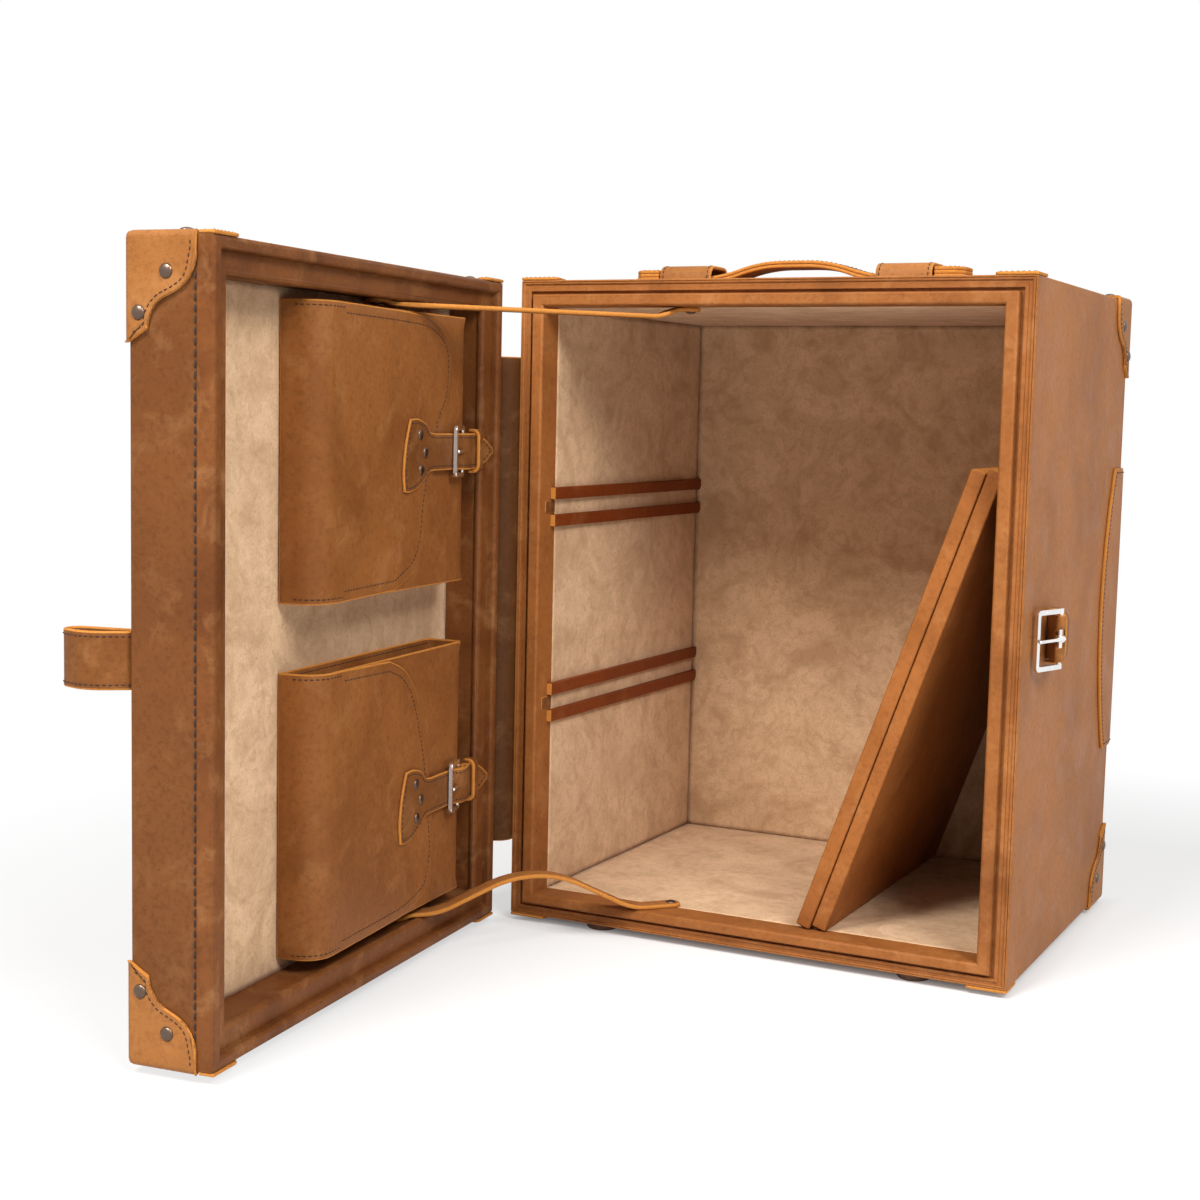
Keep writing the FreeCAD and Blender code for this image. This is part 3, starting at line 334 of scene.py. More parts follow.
# For each matt finish: the colour, the roughness, and the scale and depth of its spots
matt_finishes = {
    "plywood": ((0.62, 0.42, 0.24), 0.7, 90.0, 0.25),
    "thread": ((0.045, 0.017, 0.007), 0.8, 1500.0, 0.4),
    "foot_leather": ((0.13, 0.060, 0.028), 0.6, 200.0, 0.4),
}
# For each metal: the colour, the lowest and highest roughness, and the scale of its rubs
metals = {
    "chrome": ((0.92, 0.91, 0.89), 0.20, 0.30, 60.0),
    "dark_bronze": ((0.17, 0.115, 0.085), 0.30, 0.48, 180.0),
}


def make_finishes(trim):
    """Every material of the trunk, from the colours in the panel."""
    groups["hide"] = hide_group()
    groups["nap"] = nap_group()
    for name, (share, cloud, grain, coat) in tinted_leathers.items():
        colour = tuple(value * part for value, part in zip(trim.leather, share))
        finishes[name] = hide_material(name, colour, cloud, grain, coat)
    finishes["rail_leather"] = hide_material("rail_leather", (0.20, 0.038, 0.006), 0.5, 0.5, 0.1)
    finishes["raw_edge"] = plain_material("raw_edge", tuple(trim.raw_edge), 0.85, 1200.0, 0.35)
    finishes["suede"] = suede_material("suede", tuple(trim.suede), 0.6)
    for name, facts in matt_finishes.items():
        finishes[name] = plain_material(name, *facts)
    for name, facts in metals.items():
        finishes[name] = metal_material(name, *facts)


def paint(obj, *names):
    """Give an object these finishes, in slot order."""
    marks = [min(polygon.material_index, len(names) - 1) for polygon in obj.data.polygons]
    obj.data.materials.clear()
    for name in names:
        obj.data.materials.append(finishes[name])
    obj.data.polygons.foreach_set("material_index", marks)


def seat(piece, body, node=None):
    """Fixes a piece to a body, and names the node that it stands for."""
    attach(piece, body)
    if node:
        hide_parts(node)


# Mesh helpers
def linked(name, data):
    """A new object in the scene for some data."""
    obj = bpy.data.objects.new(name, data)
    bpy.context.scene.collection.objects.link(obj)
    return obj


def mesh_object(name, verts, faces, slots=None, smooth=True):
    """A new object at the origin from points in metres."""
    mesh = bpy.data.meshes.new(name)
    mesh.from_pydata([tuple(v) for v in verts], [], faces)
    if slots:
        mesh.polygons.foreach_set("material_index", slots)
    mesh.polygons.foreach_set("use_smooth", [smooth] * len(mesh.polygons))
    mesh.update()
    return linked(name, mesh)


def joined(name, objects):
    """Several objects as one, under a new name."""
    for obj in bpy.context.selected_objects:
        obj.select_set(False)
    for obj in objects:
        obj.select_set(True)
    bpy.context.view_layer.objects.active = objects[0]
    bpy.ops.object.join()
    result = bpy.context.view_layer.objects.active
    result.name = name
    result.data.name = name
    return result


def smooth_line(points, step):
    """A curve through the points, sampled about every step millimetres."""
    ends = [tuple(2 * a - b for a, b in zip(points[0], points[1])),
            tuple(2 * a - b for a, b in zip(points[-1], points[-2]))]
    marks = [ends[0]] + list(points) + [ends[1]]
    line = []
    for p0, p1, p2, p3 in zip(marks, marks[1:], marks[2:], marks[3:]):
        count = max(1, round(math.dist(p1, p2) / step))
        for i in range(count):
            t = i / count
            line.append(tuple(0.5 * (2 * b + (c - a) * t + (2 * a - 5 * b + 4 * c - d) * t * t
                                     + (3 * b - a - 3 * c + d) * t ** 3)
                              for a, b, c, d in zip(p0, p1, p2, p3)))
    line.append(tuple(points[-1]))
    return line


def divided(points, step, closed=True):
    """The same outline with its long runs divided."""
    result = []
    ends = points[1:] + points[:1] if closed else points[1:]
    for a, b in zip(points, ends):
        count = max(1, round(math.dist(a, b) / step))
        result += [tuple(p + (q - p) * i / count for p, q in zip(a, b)) for i in range(count)]
    if not closed:
        result.append(points[-1])
    return result


def rounded_corners(points, radii, steps=5):
    """A closed outline whose corners are arcs of these radii."""
    result = []
    count = len(points)
    for i, (corner, radius) in enumerate(zip(points, radii)):
        if radius <= 0:
            result.append(corner)
            continue
        p = Vector(corner)
        before = (Vector(points[i - 1]) - p).normalized()
        after = (Vector(points[(i + 1) % count]) - p).normalized()
        half = before.angle(after) / 2
        cut = radius / math.tan(half)
        centre = p + (before + after).normalized() * (radius / math.sin(half))
        first = (p + before * cut - centre).normalized()
        last = (p + after * cut - centre).normalized()
        for k in range(steps + 1):
            result.append(tuple(centre + first.slerp(last, k / steps, first) * radius))
    return result


def signed_area(points):
    return sum(a[0] * b[1] - b[0] * a[1] for a, b in zip(points, points[1:] + points[:1])) / 2


def inset(points, distance):
    """A closed outline moved inwards; it runs anticlockwise."""
    result = []
    for before, here, after in zip(points[-1:] + points[:-1], points, points[1:] + points[:1]):
        come = Vector(here) - Vector(before)
        go = Vector(after) - Vector(here)
        first = Vector((-come.y, come.x)).normalized()
        second = Vector((-go.y, go.x)).normalized()
        middle = (first + second).normalized()
        reach = distance / max(0.5, middle.dot(first))
        result.append(tuple(Vector(here) + middle * reach))
    return result


def inside(point, outline):
    x, y = point
    hit = False
    for (x0, y0), (x1, y1) in zip(outline, outline[1:] + outline[:1]):
        if (y0 > y) != (y1 > y) and x < (x1 - x0) * (y - y0) / (y1 - y0) + x0:
            hit = not hit
    return hit


def near_line(point, outline, distance):
    px, py = point
    for (x0, y0), (x1, y1) in zip(outline, outline[1:] + outline[:1]):
        dx, dy = x1 - x0, y1 - y0
        t = max(0.0, min(1.0, ((px - x0) * dx + (py - y0) * dy) / max(1e-9, dx * dx + dy * dy)))
        if (px - x0 - dx * t) ** 2 + (py - y0 - dy * t) ** 2 < distance * distance:
            return True
    return False


def round_hole(x, y, radius, count=10):
    angles = [2 * math.pi * i / count for i in range(count)]
    return [(x + radius * math.cos(angle), y + radius * math.sin(angle)) for angle in angles]


def oblong(low_s, low_t, high_s, high_t, radii=(0, 0, 0, 0), steps=4):
    """An upright oblong outline, anticlockwise from its lowest corner, with these corner radii."""
    corners = [(low_s, low_t), (high_s, low_t), (high_s, high_t), (low_s, high_t)]
    return rounded_corners(corners, radii, steps)


def grid_spots(loops, cell):
    """Points of a grid inside the first loop and outside the others, clear of all of them."""
    across = [p[0] for loop in loops for p in loop]
    along = [p[1] for loop in loops for p in loop]
    low_s, high_s, low_t, high_t = min(across), max(across), min(along), max(along)
    rows = max(1, round((high_t - low_t) / cell))
    columns = max(1, round((high_s - low_s) / cell))
    clear = cell * 0.45
    spots = []
    for row in range(1, rows):
        for column in range(1, columns):
            spot = (low_s + (high_s - low_s) * column / columns, low_t + (high_t - low_t) * row / rows)
            if not inside(spot, loops[0]) or any(inside(spot, hole) for hole in loops[1:]):
                continue
            if not any(near_line(spot, loop, clear) for loop in loops):
                spots.append(spot)
    return spots


# How far the rims of a piece round: of a hole at most, and of an edge as a share of the thickness
hole_rim = 0.9
edge_share = 0.32
merge_distance = 1e-7


def leather_piece(name, outline, place, thickness, cell, holes=(), edge_round=None, finish="strap_leather"):
    """A piece of leather cut to a flat outline (s, t) in millimetres and laid by place(s, t).

    place gives a point in millimetres and the unit normal of the middle surface. The cut edge is rounded
    and takes the raw edge finish; the walls of its holes take the dark thread finish, painted shade.
    """
    if signed_area(outline) < 0:
        outline = outline[::-1]
    rim = edge_round or thickness * edge_share
    loops = [outline] + [hole[::-1] if signed_area(hole) > 0 else hole for hole in holes]
    inner_loops = [inset(outline, rim)] + [inset(hole, min(rim, hole_rim)) for hole in loops[1:]]
    points, edges = [], []
    for loop in inner_loops:
        start = len(points)
        points += loop
        edges += [(start + i, start + (i + 1) % len(loop)) for i in range(len(loop))]
    points = [Vector(p) for p in points + grid_spots(inner_loops, cell)]
    fill_kind = 2 if holes else 1
    flat, _, faces, origin, _, _ = delaunay_2d_cdt(points, edges, [], fill_kind, merge_distance)
    index_of = {}
    for i, sources in enumerate(origin):
        for source in sources:
            index_of[source] = i
    half = thickness / 2
    polygons, slots = [], []
    count = len(flat)
    laid = [place(s, t) for s, t in flat]
    verts = [spot + normal * level for level in (half, -half) for spot, normal in laid]
    for face in faces:
        order = list(face)
        if signed_area([tuple(flat[i]) for i in order]) < 0:
            order.reverse()
        if orient(place, flat[order[0]]) < 0:
            order.reverse()
        polygons += [order, [i + count for i in reversed(order)]]
        slots += [0, 0]
    flip = orient(place, outline[0]) < 0
    slope = math.sin(math.radians(45))
    shoulder = half - rim * (1 - slope)
    start = 0
    for loop, inner in zip(loops, inner_loops):
        size = len(loop)
        rings = [[index_of[start + i] for i in range(size)]]
        for share, level in ((slope, shoulder), (1.0, half - rim), (1.0, rim - half), (slope, -shoulder)):
            ring = []
            for a, b in zip(inner, loop):
                s, t = a[0] + (b[0] - a[0]) * share, a[1] + (b[1] - a[1]) * share
                spot, normal = place(s, t)
                ring.append(len(verts))
                verts.append(spot + normal * level)
            rings.append(ring)
        rings.append([index_of[start + i] + count for i in range(size)])
        for upper, lower in zip(rings, rings[1:]):
            for i in range(size):
                j = (i + 1) % size
                quad = [upper[i], lower[i], lower[j], upper[j]]
                if flip:
                    quad.reverse()
                polygons.append(quad)
                # Hole walls take slot 2, the dark thread finish: painted shade inside the holes
                slots.append(1 if start == 0 else 2)
        start += size
    # The thread finish on the hole walls paints the shade inside the holes
    names = [finish, "raw_edge"] + (["thread"] if holes else [])
    obj = mesh_object(name, [v * MM for v in verts], polygons, slots)
    paint(obj, *names)
    return obj


def orient(place, spot, step=0.05):
    """1 where s, t and the normal are right-handed at a spot, else -1."""
    s, t = spot
    here, normal = place(s, t)
    along_s = place(s + step, t)[0] - here
    along_t = place(s, t + step)[0] - here
    return 1 if along_s.cross(along_t).dot(normal) > 0 else -1


class Bent:
    """Straight runs joined by arcs, read by their length: at(s) gives a point and a left normal."""

    def __init__(self, points, bends):
        spots = [Vector(p) for p in points]
        self.runs = []
        self.length = 0.0
        cursor = spots[0]
        for before, corner, after, bend in zip(spots, spots[1:], spots[2:], bends):
            come = (corner - before).normalized()
            go = (after - corner).normalized()
            side = 1.0 if come.cross(go) > 0 else -1.0
            turn = come.angle(go)
            cut = bend * math.tan(turn / 2)
            start = corner - come * cut
            self._add(cursor, start, None, 0, 0)
            centre = start + Vector((-come.y, come.x)) * side * bend
            self._add(start, corner + go * cut, centre, side * turn, bend)
            cursor = corner + go * cut
        self._add(cursor, spots[-1], None, 0, 0)

    def _add(self, start, end, centre, turn, bend):
        length = abs(turn) * bend if centre is not None else (end - start).length
        if length > 1e-9:
            self.runs.append((self.length, length, start, end, centre, turn))
            self.length += length

    def at(self, s):
        for run in self.runs:
            if s <= run[0] + run[1]:
                break
        begin, length, start, end, centre, turn = run
        part = (s - begin) / length
        if centre is None:
            along = (end - start).normalized()
            return start + (end - start) * part, Vector((-along.y, along.x))
        arm = start - centre
        side = 1.0 if turn > 0 else -1.0
        angle = turn * part
        turned = Vector((arm.x * math.cos(angle) - arm.y * math.sin(angle),
                         arm.x * math.sin(angle) + arm.y * math.cos(angle)))
        return centre + turned, -turned.normalized() * side


# The outer folds of the caps round by this much, and only edges sharper than this angle round at all
fold_width = 5.0
sharpest_fold = math.radians(30.0)
weld_distance = 2e-6


def bevelled(node, name, body, slot, width, finish, segments=2, rim_test=None, broad=None):
    """A welded copy of a hard node with rounded edges, standing for the node.

    rim_test(point, normal) picks the faces with the raw edge finish, and broad(point) the edges that
    are rounded by fold_width.
    """
    source = frame["nodes"][node].data
    work = bmesh.new()
    work.from_mesh(source)
    bmesh.ops.remove_doubles(work, verts=work.verts, dist=weld_distance)
    if broad:
        weight = work.edges.layers.float.new("bevel_weight_edge")
        for edge in work.edges:
            if len(edge.link_faces) == 2 and edge.calc_face_angle() > sharpest_fold:
                middle = (edge.verts[0].co + edge.verts[1].co) / 2
                edge[weight] = 1.0 if broad(middle / MM - shift) else width / fold_width
    mesh = bpy.data.meshes.new(name)
    work.to_mesh(mesh)
    work.free()
    obj = linked(name, mesh)
    names = [finish, "raw_edge"] if rim_test else [finish]
    paint(obj, *names)
    if rim_test:
        for polygon in mesh.polygons:
            polygon.material_index = 1 if rim_test(polygon.center / MM - shift, polygon.normal) else 0
    modifier = obj.modifiers.new("rounding", "BEVEL")
    modifier.width = width * MM
    modifier.segments = segments
    modifier.limit_method = "ANGLE"
    if broad:
        modifier.width = fold_width * MM
        modifier.limit_method = "WEIGHT"
    modifier.angle_limit = sharpest_fold
    modifier.harden_normals = True
    modifier.use_clamp_overlap = not broad
    seat(obj, body, node)


# Rows of stitches and rivets by Geometry Nodes
def bead_tree(name, sizes, segments, rings, radius):
    """A tree that sets a smooth ball on every point, stretched to two of its sizes and dressed."""
    tree = bpy.data.node_groups.new(name, "GeometryNodeTree")
    face = tree.interface
    face.new_socket("Geometry", in_out="INPUT", socket_type="NodeSocketGeometry")
    for label, value in sizes:
        face.new_socket(label, in_out="INPUT", socket_type="NodeSocketFloat").default_value = value
    face.new_socket("Material", in_out="INPUT", socket_type="NodeSocketMaterial")
    face.new_socket("Geometry", in_out="OUTPUT", socket_type="NodeSocketGeometry")
    given, made, ball, size, shape, put, real, soft, dress = (tree.nodes.new(kind) for kind in (
        "NodeGroupInput", "NodeGroupOutput", "GeometryNodeMeshUVSphere", "ShaderNodeCombineXYZ",
        "GeometryNodeTransform", "GeometryNodeInstanceOnPoints", "GeometryNodeRealizeInstances",
        "GeometryNodeSetShadeSmooth", "GeometryNodeSetMaterial"))
    for label, value in {"Segments": segments, "Rings": rings, "Radius": radius}.items():
        ball.inputs[label].default_value = value
    across, tall = [label for label, value in sizes][-2:]
    for source, output, target, socket in (
            (given, across, size, "X"), (given, across, size, "Y"), (given, tall, size, "Z"),
            (ball, "Mesh", shape, "Geometry"), (size, "Vector", shape, "Scale"),
            (shape, "Geometry", put, "Instance"), (put, "Instances", real, "Geometry"),
            (real, "Geometry", soft, "Geometry"), (soft, "Geometry", dress, "Geometry"),
            (given, "Material", dress, "Material"), (dress, "Geometry", made, "Geometry")):
        tree.links.new(source.outputs[output], target.inputs[socket])
    return tree, given, put


def stitch_tree():
    """A stitch on every step of a line: a slim grain that lies along it, half sunk in the leather."""
    sizes = [("Pitch", 0.004), ("Width", 0.0009), ("Length", 0.003)]
    tree, given, put = bead_tree("stitch_row", sizes, 6, 5, 0.5)
    line = tree.nodes.new("GeometryNodeMeshToCurve")
    spots = tree.nodes.new("GeometryNodeCurveToPoints")
    spots.mode = "LENGTH"
    link = tree.links.new
    link(given.outputs["Geometry"], line.inputs["Mesh"])
    link(line.outputs["Curve"], spots.inputs["Curve"])
    link(given.outputs["Pitch"], spots.inputs["Length"])
    link(spots.outputs["Points"], put.inputs["Points"])
    link(spots.outputs["Rotation"], put.inputs["Rotation"])
    return tree


def rivet_tree():
    """A domed rivet on every point, turned to the point's direction."""
    tree, given, put = bead_tree("rivet_heads", [("Radius", 0.005), ("Rise", 0.0022)], 24, 14, 1.0)
    way = tree.nodes.new("GeometryNodeInputNamedAttribute")
    way.data_type = "FLOAT_VECTOR"
    way.inputs["Name"].default_value = "facing"
    turn = tree.nodes.new("FunctionNodeAlignRotationToVector")
    turn.axis = "Z"
    link = tree.links.new
    link(given.outputs["Geometry"], put.inputs["Points"])
    link(way.outputs["Attribute"], turn.inputs["Vector"])
    link(turn.outputs["Rotation"], put.inputs["Rotation"])
    return tree


def run_tree(obj, tree, values):
    """The object's mesh after a Geometry Nodes tree with these named inputs, as a plain mesh."""
    modifier = obj.modifiers.new("row", "NODES")
    modifier.node_group = tree
    for item in tree.interface.items_tree:
        if item.in_out == "INPUT" and item.name in values:
            modifier[item.identifier] = values[item.name]
    evaluated = obj.evaluated_get(bpy.context.evaluated_depsgraph_get())
    mesh = bpy.data.meshes.new_from_object(evaluated)
    obj.modifiers.remove(modifier)
    old = obj.data
    obj.data = mesh
    bpy.data.meshes.remove(old)
    mesh.name = obj.name
    return obj


def stitch_rows(name, lines, pitch, length, width):
    """Stitches along several open lines of points in metres, as one object."""
    verts, edges = [], []
    for line in lines:
        start = len(verts)
        verts += [tuple(p) for p in line]
        edges += [(start + i, start + i + 1) for i in range(len(line) - 1)]
    mesh = bpy.data.meshes.new(name)
    mesh.from_pydata(verts, edges, [])
    values = {"Pitch": pitch, "Length": length, "Width": width, "Material": finishes["thread"]}
    return run_tree(linked(name, mesh), trees["stitch"], values)


def rivets(name, spots, radius, rise):
    """Rivet heads on (point, direction) pairs, points in metres, as one object."""
    mesh = bpy.data.meshes.new(name)
    mesh.from_pydata([tuple(point) for point, way in spots], [], [])
    facing = mesh.attributes.new("facing", "FLOAT_VECTOR", "POINT")
    for item, (point, way) in zip(facing.data, spots):
        item.vector = way
    values = {"Radius": radius * MM, "Rise": rise * MM, "Material": finishes["dark_bronze"]}
    return run_tree(linked(name, mesh), trees["rivet"], values)


trees = {}


class TRUNK_OT_finishes(bpy.types.Operator):
    """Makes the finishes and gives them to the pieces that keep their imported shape."""

    bl_idname = "trunk.finishes"
    bl_label = "Finishes"

    def execute(self, context):
        make_finishes(context.scene.trunk_trim)
        trees["stitch"] = stitch_tree()
        trees["rivet"] = rivet_tree()
        kept = {
            "plywood": ("carcass_back_panel", "carcass_bottom_panel", "carcass_left_panel",
                        "carcass_right_panel", "carcass_top_panel", "door_frame", "door_panel"),
            "front_leather": ("front_lip_frame", "door_rim", "door_tray_leather"),
            "rail_leather": ("left_shelf_rails", "right_shelf_rails"),
            "foot_leather": ("feet",),
            "chrome": ("upper_buckle_frame", "lower_buckle_frame", "side_buckle_frame",
                       "upper_buckle_prong", "lower_buckle_prong", "side_buckle_prong"),
        }
        for finish, nodes in kept.items():
            for node in nodes:
                paint(frame["nodes"][node], finish)
        for node, obj in frame["nodes"].items():
            if not any(node in names for names in kept.values()):
                paint(obj, "suede" if "suede" in node else "tan_leather")
        return {"FINISHED"}


# Rows of stitches and rivets are gathered here and made once for each body
stitch_lines = {}
rivet_heads = {}


def add_stitches(kind, body, line):
    stitch_lines.setdefault((kind, body), []).append(line)


def add_rivet(node, spot, way):
    """A rivet head on a point in millimetres."""
    rivet_heads.setdefault(node, []).append((spot * MM, way))


def door_point(u, w, z):
    return door_corner + door_u * u + door_w * w + up * z + shift


def door_turn(u, w):
    return door_u * u + door_w * w


def body_point(x, y, z):
    return Vector((x, y, z)) + shift


def body_turn(x, y):
    return Vector((x, y, 0))


def band(line, put, turn):
    """Lays leather along a line: put gives the place of a point of it and of t, turn a direction."""
    def place(s, t):
        spot, normal = line.at(s)
        return put(spot.x, spot.y, t), turn(normal.x, normal.y)
    return place


def flipped(place):
    """The same lay with the face on the other side."""
    def turned(s, t):
        spot, normal = place(s, t)
        return spot, -normal
    return turned


def raised(place, level):
    """The same lay, moved along its normal."""
    def lifted(s, t):
        spot, normal = place(s, t)
        return spot + normal * level, normal
    return lifted


def last_crossing(line, x):
    """The length along a line at which it last passes x."""
    steps = 2000
    last = line.at(line.length)[0].x - x
    for i in range(steps - 1, -1, -1):
        here = line.at(line.length * i / steps)[0].x - x
        if here * last <= 0:
            return line.length * i / steps
        last = here
    return 0.0


def on_face(place, points, level):
    """Points of a flat outline on the face of a laid piece, in metres."""
    lifted = raised(place, level)
    return [lifted(s, t)[0] * MM for s, t in points]


def straight_stitches(body, place, first, last, heights, level, step=3):
    """Straight rows of fine stitches along a laid piece, at these heights."""
    for t in heights:
        add_stitches("fine", body, on_face(place, [(s, t) for s in range(first, int(last), step)], level))


def edge_stitches(body, place, outline, distance, level, keep=None, step=2.0):
    """A row of fine stitches inside the edge of a piece; keep(s, t) says which part has one."""
    if signed_area(outline) < 0:
        outline = outline[::-1]
    ring = divided(inset(outline, distance), step)
    if keep is None:
        add_stitches("fine", body, on_face(place, ring + ring[:1], level))
        return
    start = next((i for i in range(len(ring)) if not keep(*ring[i])), 0)
    run = []
    for spot in ring[start:] + ring[:start] + [None]:
        if spot is not None and keep(*spot):
            run.append(spot)
            continue
        if len(run) > 1:
            add_stitches("fine", body, on_face(place, run, level))
        run = []


# Door pockets, with u from the hinge side of the door, w from its rim into the tray and z up
pocket_hinge_side = 58.0
pocket_mouth = 303.0
pocket_face = 6.3
pocket_leather = 2.5
pocket_recess = 11.0
flap_leather = 2.5
flap_bend = 18.0
flap_out = 3.5
pocket_heel = 74.0
strap_thickness = 2.5
strap_width = 30.0
heel_out = 4.1
chape_leather = 2.0
bar_radius = 1.8
keeper_leather = 2.5
flap_overhang = 0.6
stitch_margin = 4.0
# The strap's height and the free edge of the flap, as u and the rise from the end that it starts at
pockets = {
    "upper": {"bottom": 304.0, "top": 524.0, "strap": 413.0, "lobe_up": True,
              "edge": [(188, 2), (154, 17), (139, 41), (133, 73), (111, 129), (95, 153), (92, 186),
                       (102, 204), (133, 217), (185, 220)]},
    "lower": {"bottom": 38.0, "top": 252.0, "strap": 131.0, "lobe_up": False,
              "edge": [(195, 2), (170, 12), (150, 32), (134, 69), (126, 96), (117, 148), (116, 176),
                       (128, 201), (164, 212), (200, 214)]},
}


def pocket_shell(name, bottom, top):
    """The wrap of a pocket, its two recessed ends and its stitches."""
    half = pocket_leather / 2
    floor = tray_depth - half
    face = pocket_face + half
    side = pocket_hinge_side + half
    face_end = pocket_mouth - flap_bend - 2.0
    line = Bent([(face_end, face), (side, face), (side, floor), (pocket_mouth, floor)], [3.8, 1.0])
    outline = divided(oblong(0, bottom, line.length, top), 4.0)
    pieces = [leather_piece(name + "_wrap", outline, flipped(band(line, door_point, door_turn)),
                            pocket_leather, 9.0, edge_round=1.2, finish="flap_leather")]
    skin = pocket_leather + 0.05
    near, far, shallow = pocket_hinge_side + skin, tray_depth - skin, pocket_face + skin
    profile = [(near, far), (near, shallow), (pocket_mouth, shallow), (pocket_mouth, far)]
    outline = divided(rounded_corners(profile, [0.4, 3.0, flap_bend, 0.4], 8), 4.0)
    for z, side in ((bottom + pocket_recess, -1), (top - pocket_recess, 1)):
        def place(s, t):
            return door_point(s, t, z), up * side
        pieces.append(leather_piece(name + "_end", outline, place, pocket_leather, 9.0,
                                    finish="flap_leather"))
    sewn_depth = tray_depth - pocket_leather
    sewn_end = pocket_hinge_side + 7
    back = band(Bent([(near, sewn_depth), (pocket_mouth, sewn_depth)], []), door_point, door_turn)
    front = flipped(band(Bent([(face_end, face), (sewn_end, face)], []), door_point, door_turn))
    heights = (bottom + stitch_margin, top - stitch_margin)
    straight_stitches("door", back, 0, pocket_mouth - near, heights, 0.0)
    straight_stitches("door", front, 0, face_end - sewn_end, heights, half)
    seat(joined(name, pieces), "door", name)


def pocket_flap(name, facts):
    """The flap from the pocket's back round its mouth and over its front."""
    body = name.replace("_pocket", "") + "_flap"
    half = flap_leather / 2
    outer = pocket_mouth + flap_overhang + flap_leather
    line_u, line_w = outer - half, flap_out + half
    reach = min(u for u, rise in facts["edge"])
    line = Bent([(line_u, tray_depth - pocket_leather), (line_u, line_w), (reach - 5, line_w)],
                [flap_bend + half])
    bottom, top = facts["bottom"] - flap_overhang, facts["top"] + flap_overhang
    marks = [(u, bottom + rise if facts["lobe_up"] else top - rise) for u, rise in facts["edge"]]
    end_s = line.length + reach - 5
    curve = [(end_s - u, z) for u, z in smooth_line(marks, 2.5)]
    turn_s = end_s - 275.6
    first, last = (bottom, top) if facts["lobe_up"] else (top, bottom)
    outline = (divided([(0.0, last), (0.0, first), (turn_s, first), curve[0]], 3.0, closed=False)[:-1]
               + curve + divided([curve[-1], (turn_s, last), (0.0, last)], 3.0, closed=False)[1:-1])
    place = band(line, door_point, door_turn)
    flap = leather_piece(name + "_flap", outline, place, flap_leather, 5.0, edge_round=1.2,
                         finish="flap_leather")
    edge_stitches(body, place, outline, 8.0, half, lambda s, t: s > turn_s + 6)
    straight_stitches(body, place, 14, turn_s + 4, (bottom + stitch_margin, top - stitch_margin), half)
    seat(flap, body, name + "_flap")


def strap_frame(height):
    """Places in a buckle's own frame: x towards the tail, y out of the leather, z along the bar."""
    def put(x, y, z):
        return door_point(pocket_heel - x, pocket_face - y, height - z)

    def turn(x, y):
        return -door_u * x - door_w * y
    return put, turn


# The pocket strap: where it lies on the flap, on the buckle's bar and behind the buckle
strap_low, strap_top, strap_rest = 4.05, 9.75, 5.55
strap_start, strap_tail = -92.0, 47.0
# The end of the fishtail, as (s, t) along one side, the other side and the end
tail_shoulder = 40
tail_low = [(-4, -26.5), (8, -27.0), (18, -25.0), (25, -22.0), (31, -16.5), (tail_shoulder, -15.0)]
tail_high = [(tail_shoulder, 15.0), (30, 16.2), (20, 23.0), (6, 29.5), (-6, 31.5), (-13, 30.5)]
tail_end = [(-13, 30.5), (-14.8, 16), (-13.0, 0), (-9.0, -14), (-4, -26.5)]
strap_rivets = [(151.0, 14.0), (144.0, 0.0), (153.0, -14.0)]
strap_hole_at = 50.0


def pocket_strap(name, facts):
    """The strap of a flap: a fishtail with three rivets, holes, and a pointed tail."""
    body = name.replace("_pocket", "") + "_flap"
    line = Bent([(strap_start, strap_low), (-14.5, strap_low), (-2.2, strap_top), (7.0, strap_top - 0.6),
                 (17.0, strap_rest), (32.0, strap_rest), (strap_tail, strap_rest + 5.0)],
                [10, 8, 10, 8, 14])
    place = band(line, *strap_frame(facts["strap"]))
    width = strap_width / 2
    length = line.length
    point = [(length - 23, -width), (length - 10, -width * 0.66), (length - 0.5, -2.2)]
    side = smooth_line(tail_low, 2.0) + [(length - 25, -width)] + smooth_line(point, 2.0)[1:]
    other = [(s, -t) for s, t in reversed(side) if s > tail_shoulder] + smooth_line(tail_high, 2.0)
    outline = divided(side + other + smooth_line(tail_end, 2.5)[1:-1], 3.0)
    slot_start, slot_end = last_crossing(line, -13.5), last_crossing(line, -3.5)
    slot = [(slot_start, -1.9), (slot_end, -1.9), (slot_end + 1.2, 0), (slot_end, 1.9), (slot_start, 1.9),
            (slot_start - 1.2, 0)]
    holes = [round_hole(strap_hole_at, 0, 2.2), round_hole(length - 14.5, 0, 2.0), slot]
    strap = leather_piece(name + "_strap", outline, place, strap_thickness, 4.0, holes, edge_round=1.2,
                          finish="buckle_leather")
    edge_stitches(body, place, outline, 3.6, strap_thickness / 2)
    for u, z in strap_rivets:
        spot, normal = place(pocket_heel - u - strap_start, z)
        add_rivet(name + "_rivets", spot + normal * strap_thickness / 2, normal)
    seat(strap, body, name + "_strap")


def arch_piece(name, put, turn, width, rise, start, end, bend, leather=keeper_leather):
    """A keeper: a leather loop with both feet on the surface."""
    half = width / 2 + 0.3 + leather / 2
    crest = rise + leather / 2
    line = Bent([(-half, 0), (-half, crest), (half, crest), (half, 0)], [bend, bend])
    across = turn(1, 0).cross(turn(0, 1))
    place = band(line, lambda x, y, z: put(z, y, x), lambda x, y: turn(0, y) + across * x)
    outline = divided(oblong(0.2, start, line.length - 0.2, end), 1.5)
    return leather_piece(name, outline, place, leather, 3.0, edge_round=1.3, finish="buckle_leather")


